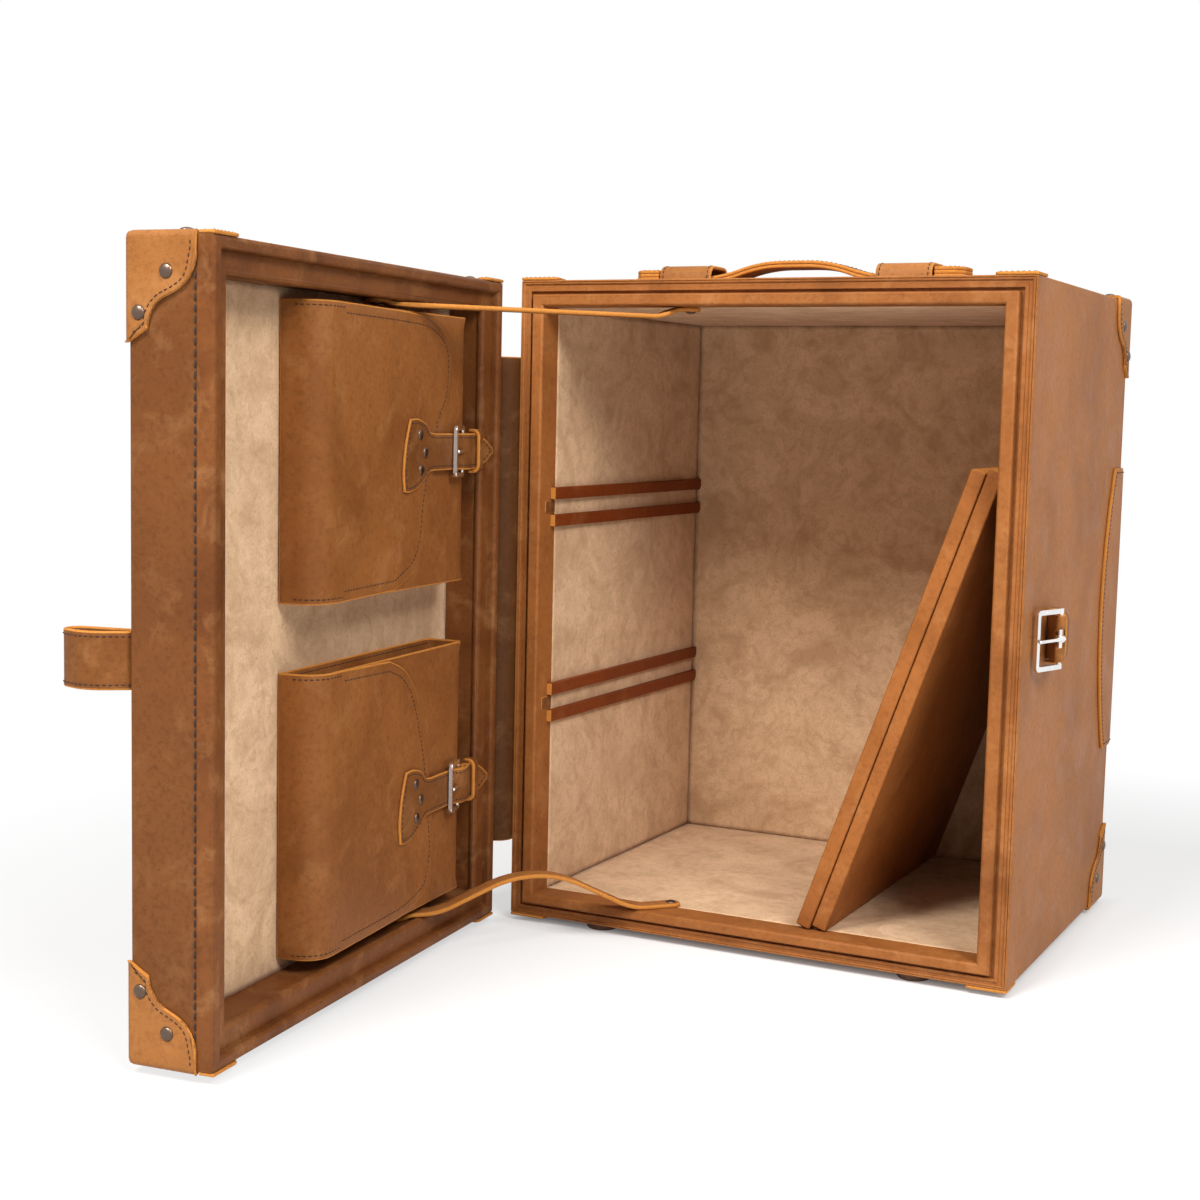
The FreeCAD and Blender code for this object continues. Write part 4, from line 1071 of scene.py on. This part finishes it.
def chape_piece(name, put, turn, width, out, landing, tail, slot_half, slot_end):
    """The leather that turns round the heel bar and is sewn down behind it."""
    base = chape_leather / 2
    wrap = bar_radius + 0.3 + base
    line = Bent([(tail, base), (-wrap, max(base, out - wrap)), (-wrap, out + wrap), (1.5, out + wrap),
                 (landing, base * 3), (tail, base * 3)], [wrap * 0.98, wrap * 0.98, 6.0, 8.0])
    half = width / 2
    corner = 3.0
    length = line.length
    outline = divided([(0, -half), (length - corner, -half), (length, -half + corner),
                       (length, half - corner), (length - corner, half), (0, half)], 2.0)
    slot = oblong(tail - 3.0, -slot_half, length - (tail - slot_end) + 4.0, slot_half, [2.0] * 4)
    return leather_piece(name, outline, band(line, put, turn), chape_leather, 3.5, [slot], edge_round=0.6)


class TRUNK_OT_pockets(bpy.types.Operator):
    """Makes both door pockets with their flaps, straps, keepers and chapes."""

    bl_idname = "trunk.pockets"
    bl_label = "Door pockets"

    def execute(self, context):
        for key, facts in pockets.items():
            name = key + "_pocket"
            pocket_shell(name, facts["bottom"], facts["top"])
            pocket_flap(name, facts)
            pocket_strap(name, facts)
            lay = strap_frame(facts["strap"])
            keeper, chape = key + "_buckle_keeper", key + "_buckle_chape"
            seat(arch_piece(keeper, *lay, strap_width, 7.4, 20.0, 29.0, 4.8, leather=3.3), "door", keeper)
            seat(chape_piece(chape, *lay, strap_width - 1, heel_out, 15.0, 36.0, 3.5, 7.3), "door", chape)
        return {"FINISHED"}


# Corner caps: their reach along each axis, and their curved edge and rivets as shares of it
cap_size = (60.0, 52.0, 70.0)
cap_thickness = 3.0
cap_round = 1.1
cap_margin = 0.4
tab_leather = 2.6
cap_curve = [(1.0, 0.14), (0.91, 0.39), (0.74, 0.51), (0.47, 0.61), (0.33, 0.74), (0.29, 0.87),
             (0.0, 1.0)]
cap_rivet_marks = [(0.58, 0.34), (0.17, 0.72)]
door_box = ((0.0, 0.0, door_bottom), (trunk_width, door_depth, door_top))
body_box = ((0.0, 0.0, 0.0), (trunk_width, body_depth, trunk_height))


def door_spot(point):
    """The (u, w, z) of a point of the open door before the shift."""
    arm = Vector(point) - door_corner
    return arm.dot(door_u), arm.dot(door_w), point[2]


def cap_tests(spot_of, low, high, open_front):
    """Two tests for the caps: one tells the faces of the cut edge, the other the outer folds."""
    def reach(point):
        spot = spot_of(point)
        distances = [a - b for a, b in zip(low, spot)] + [b - a for a, b in zip(high, spot)]
        if open_front:
            distances[1] = -1.0
        return distances

    def cut_edge(point, normal):
        return cap_margin < max(reach(point)) < cap_thickness - cap_margin

    def fold(point):
        return sum(distance > cap_thickness - 0.1 for distance in reach(point)) > 1
    return cut_edge, fold


def cap_details(node, body, point_of, corners):
    """Stitch rows and rivets on the three faces of each cap."""
    origin = point_of(0, 0, 0)
    axes = [point_of(1, 0, 0) - origin, point_of(0, 1, 0) - origin, point_of(0, 0, 1) - origin]
    for corner in corners:
        signs = (1 if corner[0] == 0 else -1, -1, 1 if corner[2] < trunk_height / 2 else -1)
        for first, second in ((1, 2), (0, 2), (0, 1)):
            flat = 3 - first - second
            normal = axes[flat] * -signs[flat]

            def place(s, t):
                offsets = [0.0, 0.0, 0.0]
                offsets[first] = s * signs[first]
                offsets[second] = t * signs[second]
                offsets[flat] = -cap_thickness * signs[flat]
                return point_of(*(a + b for a, b in zip(corner, offsets))), normal
            wide, tall = cap_size[first], cap_size[second]
            outline = [(0, 0), (wide, 0)] + smooth_line([(wide * a, tall * b) for a, b in cap_curve], 2.0)
            edge_stitches(body, place, outline, 3.6, 0.0, lambda s, t: min(s, t) > 4.2)
            for a, b in cap_rivet_marks:
                add_rivet(node, *place(wide * a, tall * b))


def corner_tabs(node, body, point_of, low, high, width):
    """Thin leather tabs on the top and bottom faces at the corners of a rim."""
    pieces = []
    axis = point_of(0, 0, 1) - point_of(0, 0, 0)
    corners = [(0, 0), (36, 0), (28.8, width), (0, width)]
    outline = divided(rounded_corners(corners, [0.6, 5, 5, 0.6], 4), 3.0)
    for x, x_sign in ((0.0, 1), (trunk_width, -1)):
        for z, z_sign in ((low, 1), (high, -1)):
            def place(s, t):
                return point_of(x + s * x_sign, t, z - tab_leather / 2 * z_sign), axis * -z_sign
            pieces.append(leather_piece(node + "_part", outline, place, tab_leather, 8.0, edge_round=1.0))
            edge_stitches(body, place, outline, 2.6, tab_leather / 2, lambda s, t: s > 3.5)
    seat(joined(node + "_leather", pieces), body, node)


class TRUNK_OT_corner_caps(bpy.types.Operator):
    """Makes the corner caps and the tabs at the rims."""

    bl_idname = "trunk.corner_caps"
    bl_label = "Corner caps"

    def execute(self, context):
        for key, body, point_of, box, tests in (
                ("rear", "trunk_body", body_point, body_box, cap_tests(tuple, *body_box, False)),
                ("door", "door", door_point, door_box, cap_tests(door_spot, *door_box, True))):
            bevelled(key + "_corner_caps", key + "_cap_leather", body, "strap_leather", cap_round,
                     "strap_leather", 3, *tests)
            low, high = box
            corners = [(x, high[1], z) for x in (low[0], high[0]) for z in (low[2], high[2])]
            cap_details(key + "_cap_rivets", body, point_of, corners)
        corner_tabs("front_corner_tabs", "trunk_body", body_point, 0.0, trunk_height, 30.0)
        corner_tabs("door_corner_tabs", "door", door_point, door_bottom, door_top, 12.0)
        return {"FINISHED"}


# Handle: its middle on the top face, its line, the end pads and the loops on each side
handle_spot = (225.0, 82.0, 560.0)
handle_half = 15.0
handle_bows = [(-146, 3.3), (-68, 3.3), (-30.6, 16), (30.6, 16), (68, 3.3), (146, 3.3)]
ply_leather = 2.95
ply_face = 1.48
pad_near, pad_far = 123.5, 148.0
pad_half, pad_nose = 19.0, 9.5
pad_levels = (1.8, 4.8, 7.8, 10.8)
loop_at = 98.0
loop_half = 18.5
loop_reach = 24.0
loop_leather = 3.0


class TRUNK_OT_handle(bpy.types.Operator):
    """Makes the two-ply handle with its end pads and the two loops that it runs through."""

    bl_idname = "trunk.handle"
    bl_label = "Carrying handle"

    def execute(self, context):
        x0, y0, z0 = handle_spot
        line = Bent(handle_bows, [115.0, 120.0, 120.0, 115.0])
        outline = divided(oblong(0, -handle_half, line.length, handle_half), 4.0)
        lay = band(line, lambda x, y, z: body_point(x0 + x, y0 + z, z0 + y),
                   lambda x, y: Vector((x, 0, y)))
        pieces = []
        for level in (-1.5, 1.5):
            place = raised(lay, level)
            pieces.append(leather_piece("handle_ply", outline, place, ply_leather, 5.0, edge_round=1.0))
        edge_stitches("handle", place, outline, 3.4, ply_face)
        for sign in (-1, 1):
            plate = [(pad_near, -pad_half), (pad_far - 7, -pad_half), (pad_far, -pad_nose),
                     (pad_far, pad_nose), (pad_far - 7, pad_half), (pad_near, pad_half)]
            radii = [1.5, 2.5, 2.5, 2.5, 2.5, 1.5]
            outline = divided(rounded_corners([(sign * s, t) for s, t in plate], radii, 4), 3.0)
            for level in pad_levels:
                def place(s, t):
                    return body_point(x0 + s, y0 + t, z0 + level), up
                pieces.append(leather_piece("handle_pad", outline, place, ply_leather, 6.0,
                                            edge_round=0.7))
            edge_stitches("handle", place, outline, 3.2, ply_face)
        seat(joined("handle_leather", pieces), "handle", "handle_strap")
        foot = loop_leather / 2
        arch = Bent([(-loop_half - 9, foot), (-loop_half, foot), (-loop_half, 14.5), (loop_half, 14.5),
                     (loop_half, foot), (loop_half + 9, foot)], [2.4, 8.0, 8.0, 2.4])
        outline = divided(oblong(0, -loop_reach, arch.length, loop_reach, [2.5] * 4), 2.0)
        for side, sign in (("left", -1), ("right", 1)):
            place = band(arch, lambda x, y, z: body_point(x0 + sign * loop_at + z, y0 + x, z0 + y),
                         lambda x, y: Vector((0, x, y)))
            loop = leather_piece(side + "_loop_leather", outline, place, loop_leather, 3.5,
                                 edge_round=1.0)
            edge_stitches("trunk_body", place, outline, 3.2, loop_leather / 2)
            seat(loop, "trunk_body", side + "_handle_loop")
        return {"FINISHED"}


# Side buckle, as y and z of its bar, and the patch round the rear right edge
side_buckle_at = (62.0, 276.0)
side_bar_out = 15.0
side_half = 19.0
patch_leather = 3.0
patch_height = 277.0
patch_half = 130.0
patch_bow = 32.0


class TRUNK_OT_side_buckle(bpy.types.Operator):
    """Makes the leathers of the buckle on the right wall, and the patch round the rear edge."""

    bl_idname = "trunk.side_buckle"
    bl_label = "Side buckle and edge patch"

    def execute(self, context):
        y0, z0 = side_buckle_at

        def put(x, y, z):
            return body_point(trunk_width + y, y0 + x, z0 - z)

        def turn(x, y):
            return Vector((y, x, 0.0))
        keeper = arch_piece("side_keeper_leather", put, turn, 40.0, 14.5, 14.0, 24.0, 9.0)
        wrap = 3.1
        under, over = side_bar_out - wrap, side_bar_out + wrap
        line = Bent([(46, 1), (18, 1), (2.5, under), (-wrap, under), (-wrap, over), (2.0, over), (22, 3),
                     (46, 3)], [6.0, 3.0, 2.9, 2.9, 4.0, 8.0])
        length = line.length
        outline = divided(oblong(0, -side_half, length, side_half, [0.5, 6, 6, 0.5], 5), 2.0)
        slot = oblong(43, -3.5, length - 38.7, 3.5, [2.0] * 4)
        place = band(line, put, turn)
        chape = leather_piece("side_chape_leather", outline, place, chape_leather, 3.5, [slot],
                              edge_round=0.6)
        edge_stitches("trunk_body", place, outline, 3.0, chape_leather / 2, lambda s, t: s > length - 42)
        corner_x, corner_y = trunk_width + patch_leather / 2, body_depth + patch_leather / 2
        line = Bent([(corner_x, 279.0), (corner_x, corner_y), (384.0, corner_y)], [2.6])
        bow = [(patch_bow * (k / 8) ** 2, patch_height + patch_half * k / 8) for k in range(8, -9, -1)]
        edge = divided(bow + [(line.length - s, z) for s, z in reversed(bow)], 9.0)
        outward = flipped(band(line, body_point, body_turn))
        patch = leather_piece("edge_patch_leather", edge, outward, patch_leather, 7.0, edge_round=1.1,
                              finish="tan_leather")
        edge_stitches("trunk_body", outward, edge, 4.0, patch_leather / 2)
        seat(keeper, "trunk_body", "side_buckle_keeper")
        seat(chape, "trunk_body", "side_buckle_chape")
        seat(patch, "trunk_body", "rear_edge_patch")
        return {"FINISHED"}


# Long straps: the stays, the hinge strip, and the closing strap as u and w along the door
stay_leather = 3.5
stay_half = 8.0
strip_low, strip_high = 66.0, 494.0
strip_wall = -1.25
strip_reach = 34.0
closing_leather = 3.0
closing_middle = 276.0
closing_half = 20.0
closing_keeper_at = 400.0
closing_rivets_at = 264.0
closing_line = [(250, 66.5), (444, 66.5), (461, 93.5), (450.8, 119), (437.8, 117), (433.6, 69.8),
                (388, 69.8)]


def stay_strap(name, door_mark, body_mark, door_z, body_z, rim_z, rise):
    """A stay between the door tray and the body."""
    start = door_corner + door_turn(*door_mark)
    run = Vector((*body_mark, 0.0)) - start
    length = run.length
    run.normalize()
    side = run.cross(up)
    points = [(-stay_half, door_z), (6.0, door_z), (12.8, rim_z)]
    if rise > 0:
        levels = (rim_z, rim_z + rise, rim_z + rise, body_z)
        points += [(length * share, level) for share, level in zip((0.15, 0.40, 0.57, 0.85), levels)]
        bends = [6, 6, 60, 96, 96, 60]
    else:
        points += [(length - 32, rim_z), (length - 14, body_z)]
        bends = [6, 6, 40, 40]
    line = Bent(points + [(length + stay_half, body_z)], bends)
    face = 1.0 if rise > 0 else -1.0
    place = band(line, lambda x, y, z: start + shift + run * x + up * y + side * z,
                 lambda x, y: (run * x + up * y) * face)
    outline = divided(oblong(0, -stay_half, line.length, stay_half, [7.5] * 4, 5), 4.0)
    strap = leather_piece(name + "_leather", outline, place, stay_leather, 4.0, edge_round=1.2)
    for s, node in ((stay_half, "stay_door_rivets"), (line.length - stay_half, "stay_body_rivets")):
        spot, normal = place(s, 0.0)
        add_rivet(node, spot + normal * (stay_leather / 2), normal)
    near, far = place(20.0, 0.0)[0] * MM, place(line.length - 20.0, 0.0)[0] * MM
    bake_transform(strap)
    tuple(near)
    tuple(far)
    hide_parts(name)


def hinge_strip():
    """The strip of leather that joins the body to the door and bends round the hinge."""
    door_line = door_corner + door_u * strip_wall
    far = door_line + door_w * strip_reach
    meeting = door_line + door_w * ((strip_wall - door_line.x) / door_w.x)
    line = Bent([(strip_wall, strip_reach), (meeting.x, meeting.y), (far.x, far.y)], [14.0])
    lay = band(line, body_point, body_turn)
    outline = divided(oblong(0, strip_low, line.length, strip_high), 4.0)
    outside = lay if lay(2, 100)[1].x < 0 else flipped(lay)
    # The strip takes the darkest leather copy: painted shade of the gap round the hinge
    strip = leather_piece("hinge_strip_leather", outline, outside, 2.5, 4.5, edge_round=0.9,
                          finish="shaded_strip_leather")
    start = lay(33.0, 280.0)[0] * MM
    end = lay(line.length - 33.0, 280.0)[0] * MM
    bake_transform(strip)
    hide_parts("hinge_strip")


class TRUNK_OT_long_straps(bpy.types.Operator):
    """Makes the hinge strip, both stays and the closing strap with its keeper."""

    bl_idname = "trunk.long_straps"
    bl_label = "Long straps"

    def execute(self, context):
        stay_strap("upper_stay_strap", (180.0, 28.0), (150.0, 26.0), 531.25, 535.75, 528.65, 0.0)
        stay_strap("lower_stay_strap", (138.0, 28.0), (146.0, 26.0), 27.75, 21.75, 30.35, 26.0)
        hinge_strip()
        line = Bent(closing_line, [10, 25, 7.8, 7.8, 5])
        place = band(line, door_point, door_turn)
        low, high = closing_middle - closing_half, closing_middle + closing_half
        outline = divided(oblong(0, low, line.length, high, [3, 12, 12, 3], 6), 3.0)
        strap = leather_piece("closing_strap_leather", outline, place, closing_leather, 5.0,
                              edge_round=1.3, finish="buckle_leather")
        half, margin = closing_leather / 2, 3.6
        edge_stitches("door", place, outline, margin, half)
        rows = (low + margin, high - margin)
        straight_stitches("door", place, 4, int(line.length) - 6, rows, -half, 2)

        def put(x, y, z):
            return door_point(closing_keeper_at + x, door_depth + y, closing_middle + z)
        keeper = arch_piece("closing_keeper_leather", put, door_turn, 40.0, 6.6, 0.0, 14.0, 2.6)
        seat(strap, "door", "closing_strap")
        seat(keeper, "door", "closing_strap_keeper")
        for z in (-10.0, 10.0):
            head = door_point(closing_rivets_at, door_depth + closing_leather, closing_middle + z)
            add_rivet("closing_strap_rivets", head, door_w)
        return {"FINISHED"}


# Suede: its thickness, the height and the two sizes of its waves, and the step of its mesh
suede_thickness = 1.4
suede_wave = 0.2
suede_swell, suede_ripple = 46.0, 17.0
suede_step = 5.0


def lining_panel(corner, along, across, size):
    """Points and faces of a lining panel that waves a little along its normal."""
    width, height = size
    columns, rows = max(2, round(width / suede_step)), max(2, round(height / suede_step))
    normal = along.cross(across)
    verts = []
    for row in range(rows + 1):
        for column in range(columns + 1):
            flat = corner + along * (width * column / columns) + across * (height * row / rows)
            edge = min(column, columns - column, row, rows - row)
            fade = min(1.0, edge / 2.0)
            wave = noise.noise(flat / suede_swell) + 0.45 * noise.noise(flat / suede_ripple)
            verts.append((flat + normal * (suede_wave * fade * wave) + shift) * MM)
    faces = [(r * (columns + 1) + c, r * (columns + 1) + c + 1, (r + 1) * (columns + 1) + c + 1,
              (r + 1) * (columns + 1) + c) for r in range(rows) for c in range(columns)]
    return verts, faces


def lining(name, body, panels, node):
    """A suede lining of several flat panels, with a little thickness behind its face."""
    pieces = []
    for corner, along, across, size in panels:
        verts, faces = lining_panel(corner, along, across, size)
        pieces.append(mesh_object(name + "_part", verts, faces))
    cloth = joined(name, pieces)
    paint(cloth, "suede")
    backing = cloth.modifiers.new("thickness", "SOLIDIFY")
    backing.thickness = suede_thickness * MM
    backing.offset = -1.0
    seat(cloth, body, node)


class TRUNK_OT_buckles(bpy.types.Operator):
    """Rounds the bars of the buckle frames."""

    bl_idname = "trunk.buckles"
    bl_label = "Buckle frames"

    def execute(self, context):
        for body in ("upper_buckle", "lower_buckle", "side_buckle"):
            bevelled(body + "_frame", body + "_frame_bars", body, "chrome", 1.3, "chrome", 4)
        return {"FINISHED"}


# Saddle stitches round the door: their depth from the rim, and how far they stand off the leather
saddle_row = 14.6
saddle_rise = 0.1


class TRUNK_OT_shells(bpy.types.Operator):
    """Makes the outer leathers, the rims and the linings of the body and the door."""

    bl_idname = "trunk.shells"
    bl_label = "Shells and linings"

    def execute(self, context):
        # The door's cover, rim and tray take darkened copies of the tan leather: painted shade
        shells = (("outer_leather_sleeve", "sleeve_leather", 1.3, "tan_leather", "trunk_body"),
                  ("back_leather_panel", "back_leather", 0.8, "tan_leather", "trunk_body"),
                  ("front_lip_frame", "front_lip_leather", 0.9, "front_leather", "trunk_body"),
                  ("door_leather_cover", "door_leather", 1.3, "door_leather", "door"),
                  ("door_rim", "door_rim_leather", 0.5, "shaded_rim_leather", "door"),
                  ("door_tray_leather", "tray_leather", 0.4, "shaded_rim_leather", "door"))
        for node, name, width, finish, body in shells:
            bevelled(node, name, body, "tan_leather", width, finish)
        x, y, z = Vector((1, 0, 0)), Vector((0, 1, 0)), up
        depth = inner_back - frame_return
        height = inner_top - inner_floor
        width = inner_right - inner_left
        front = Vector((inner_left, frame_return, inner_floor))
        back = Vector((inner_right, inner_back, inner_floor))
        roof = Vector((inner_left, inner_back, inner_top))
        lining("wall_suede", "trunk_body", [
            (front, y, z, (depth, height)), (back, -y, z, (depth, height)), (front, x, y, (width, depth)),
            (roof, x, -y, (width, depth))], "suede_wall_lining")
        lining("back_suede", "trunk_body", [(back, -x, z, (width, height))], "suede_back_lining")
        tray = door_corner + door_u * door_wall + door_w * tray_depth + up * (door_bottom + door_wall)
        tray_size = (trunk_width - 2 * door_wall, door_top - door_bottom - 2 * door_wall)
        lining("door_suede", "door", [(tray, door_u, up, tray_size)], "door_suede_lining")
        for u in (-saddle_rise, trunk_width + saddle_rise):
            row = [door_point(u, saddle_row, 4.0 + i * 4.0) * MM for i in range(138)]
            add_stitches("coarse", "door", row)
        for z_level in (door_bottom - saddle_rise, door_top + saddle_rise):
            row = [door_point(4.0 + i * 4.0, saddle_row, z_level) * MM for i in range(111)]
            add_stitches("coarse", "door", row)
        return {"FINISHED"}


# The shelves: the heights of the slots, the half height of their tags, and how the loose boards lean
shelf_slots = (364.0, 190.0)
tag_half = 5.5
board_lean = math.radians(19.1)


class TRUNK_OT_shelves(bpy.types.Operator):
    """Makes the two loose shelf boards and the shelf rails."""

    bl_idname = "trunk.shelves"
    bl_label = "Shelf boards and rails"

    def execute(self, context):
        along = Vector((math.sin(board_lean), 0, math.cos(board_lean)))
        for side in ("left", "right"):
            bevelled(side + "_shelf_board", side + "_board_leather", side + "_board", "tan_leather", 1.6,
                     "board_leather", 3, lambda point, normal: normal.dot(along) > 0.9)
        outline = oblong(6, -tag_half, 23.2, tag_half, [2.0] * 4, 3)
        for z in shelf_slots:
            def inner_face(s, t):
                return body_point(inner_left + 0.3, s, z + t), Vector((1, 0, 0))
            tag = leather_piece("slot_tag", outline, inner_face, 0.9, 6.0, edge_round=0.3,
                                finish="shaded_rim_leather")
            seat(tag, "trunk_body")
        for side in ("left", "right"):
            bevelled(side + "_shelf_rails", side + "_rail_leather", "trunk_body", "rail_leather", 0.6,
                     "rail_leather", 2, lambda point, normal: normal.y < -0.9)
        return {"FINISHED"}


# The length and the width of a stitch, in metres
threads = {"fine": (0.0031, 0.0011), "coarse": (0.0058, 0.0019)}


class TRUNK_OT_stitches(bpy.types.Operator):
    """Sews every gathered row, one object for each body and thread."""

    bl_idname = "trunk.stitches"
    bl_label = "Stitches"

    def execute(self, context):
        trim = context.scene.trunk_trim
        pitches = {"fine": trim.stitch_pitch, "coarse": trim.coarse_pitch}
        for (kind, body), lines in sorted(stitch_lines.items()):
            seat(stitch_rows(body + "_" + kind + "_stitches", lines, pitches[kind], *threads[kind]), body)
        return {"FINISHED"}


# The radius of a rivet, and the radius and rise of the small ones on pockets and stays
rivet_radius = 5.0
small_rivet = (4.4, 1.8)


class TRUNK_OT_rivets(bpy.types.Operator):
    """Sets the rivet heads in place of the plain ones."""

    bl_idname = "trunk.rivets"
    bl_label = "Rivets"

    def execute(self, context):
        rise = context.scene.trunk_trim.rivet_rise / MM
        for node, spots in sorted(rivet_heads.items()):
            small = "pocket" in node or "stay" in node
            size = small_rivet if small else (rivet_radius, rise)
            heads = rivets(node + "_heads", spots, *size)
            seat(heads, frame["nodes"][node]["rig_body"], node)
        return {"FINISHED"}


# Stage: where each square lamp hangs, in metres, with its side, its watts and its colour
warm_white = (1.0, 0.985, 0.96)
lamps = {
    "right": ((1.75, -1.25, 2.1), 1.1, 62.0, warm_white),
    "front": ((-0.35, -2.0, 2.4), 0.8, 88.0, warm_white),
    "top": ((0.5, 0.6, 2.6), 2.2, 12.0, (1.0, 1.0, 1.0)),
}
lamp_aim = Vector((0.0, 0.0, 0.3))
camera_place = (0.60910, -1.36202, 0.45781)
camera_lens = 55.887
camera_turn = {"yaw": 26.716, "pitch": 5.859, "roll": 1.299}
floor_half = 6.0
# The floor under the trunk keeps its dark shadow
footprint_middle = (0.033, 0.24)
footprint_half = (0.225, 0.175)


def area_lamp(name, place, side, power, tint):
    lamp = bpy.data.lights.new(name, "AREA")
    lamp.shape = "RECTANGLE"
    lamp.size = lamp.size_y = side
    lamp.energy = power
    lamp.color = tint
    turn = (lamp_aim - Vector(place)).to_track_quat("-Z", "Y").to_matrix().to_4x4()
    linked(name, lamp).matrix_world = Matrix.Translation(place) @ turn


def seen_share(tree):
    """1 where the camera, a reflection or glass looks, else 0."""
    rays = tree.nodes.new("ShaderNodeLightPath")
    seen = add_math(tree, "MAXIMUM", rays.outputs["Is Camera Ray"], rays.outputs["Is Glossy Ray"])
    return add_math(tree, "MAXIMUM", seen, rays.outputs["Is Transmission Ray"])


def mixed_surface(tree, share, first, second, output):
    """Sends two shaders, mixed by a share, to the output node."""
    blend = tree.nodes.new("ShaderNodeMixShader")
    tree.links.new(share, blend.inputs["Fac"])
    tree.links.new(first, blend.inputs[1])
    tree.links.new(second, blend.inputs[2])
    tree.links.new(blend.outputs["Shader"], tree.nodes[output].inputs["Surface"])


def backdrop_material():
    """A white floor that keeps the trunk's shadow, and is plain white away from it."""
    material, tree, shader, bump_node = finish_material("floor_white", 0.9)
    shader.inputs["Base Color"].default_value = (0.86, 0.86, 0.86, 1)
    shader.inputs["Specular IOR Level"].default_value = 0.1
    parts = tree.nodes.new("ShaderNodeSeparateXYZ")
    tree.links.new(object_place(tree), parts.inputs["Vector"])
    past = []
    for axis, middle, half in zip("XY", footprint_middle, footprint_half):
        reach = add_math(tree, "ABSOLUTE", add_math(tree, "SUBTRACT", parts.outputs[axis], middle), 0.0)
        past.append(add_math(tree, "SUBTRACT", reach, half))
    outside = add_math(tree, "MAXIMUM", *past)
    fade = add_range(tree, outside, -0.02, 0.02, 0.10, 0.60)
    far = add_range(tree, outside, 0.25, 0.7, 0.0, 0.40)
    share = add_math(tree, "MULTIPLY", add_math(tree, "ADD", fade, far), seen_share(tree))
    glow = tree.nodes.new("ShaderNodeEmission")
    mixed_surface(tree, share, shader.outputs["BSDF"], glow.outputs["Emission"], "Material Output")
    return material


def make_world():
    """Soft even light, with plain white where the camera or a reflection looks past the floor."""
    world = bpy.data.worlds.new("studio")
    bpy.context.scene.world = world
    world.use_nodes = True
    tree = world.node_tree
    light = tree.nodes["Background"]
    light.inputs["Color"].default_value = (1.0, 0.985, 0.965, 1)
    light.inputs["Strength"].default_value = 0.15
    white = new_node(tree, "ShaderNodeBackground", Color=(1, 1, 1, 1))
    mixed_surface(tree, seen_share(tree), light.outputs["Background"], white.outputs["Background"],
                  "World Output")


def make_camera():
    """The camera at the photograph's place and angle."""
    camera = bpy.data.cameras.new("camera")
    camera.sensor_width = 36.0
    camera.lens = camera_lens
    eye = linked("camera", camera)
    yaw, pitch, roll = (math.radians(angle) for angle in camera_turn.values())
    ahead = math.cos(pitch)
    forward = Vector((-math.sin(yaw) * ahead, math.cos(yaw) * ahead, -math.sin(pitch)))
    level = Vector((math.cos(yaw), math.sin(yaw), 0.0))
    above = level.cross(forward)
    right = level * math.cos(roll) + above * math.sin(roll)
    top = above * math.cos(roll) - level * math.sin(roll)
    turn = Matrix((right, top, -forward)).transposed()
    eye.matrix_world = Matrix.Translation(camera_place) @ turn.to_4x4()
    bpy.context.scene.camera = eye


class TRUNK_OT_stage(bpy.types.Operator):
    """Sets the floor, the soft light and the camera."""

    bl_idname = "trunk.stage"
    bl_label = "Stage"

    def execute(self, context):
        corners = [(x * floor_half, y * floor_half, 0) for x, y in ((-1, -1), (1, -1), (1, 1), (-1, 1))]
        floor = mesh_object("floor", corners, [(0, 1, 2, 3)], smooth=False)
        floor.data.materials.append(backdrop_material())
        make_world()
        for name, facts in lamps.items():
            area_lamp(name, *facts)
        make_camera()
        context.scene.view_settings.view_transform = "Standard"
        return {"FINISHED"}


class TRUNK_PT_panel(bpy.types.Panel):
    """Lists the trunk's pieces in the sidebar."""

    bl_idname = "TRUNK_PT_panel"
    bl_label = "Leather trunk"
    bl_space_type = "VIEW_3D"
    bl_region_type = "UI"
    bl_category = "Trunk"

    def draw(self, context):
        trim = context.scene.trunk_trim
        for name in Trim.__annotations__:
            self.layout.prop(trim, name)
        for operator in operators:
            self.layout.operator(operator.bl_idname)


operators = [TRUNK_OT_finishes,
             TRUNK_OT_pockets,
             TRUNK_OT_corner_caps,
             TRUNK_OT_handle,
             TRUNK_OT_side_buckle,
             TRUNK_OT_long_straps,
             TRUNK_OT_buckles,
             TRUNK_OT_shells,
             TRUNK_OT_shelves,
             TRUNK_OT_stitches,
             TRUNK_OT_rivets,
             TRUNK_OT_stage]
classes = [Trim] + operators + [TRUNK_PT_panel]


def register():
    for cls in classes:
        bpy.utils.register_class(cls)
    bpy.types.Scene.trunk_trim = bpy.props.PointerProperty(type=Trim)


def unregister():
    del bpy.types.Scene.trunk_trim
    for cls in reversed(classes):
        bpy.utils.unregister_class(cls)


def main():
    register()
    for operator in operators:
        getattr(bpy.ops.trunk, operator.bl_idname.split(".")[1])()


if __name__ == "__main__":
    main()
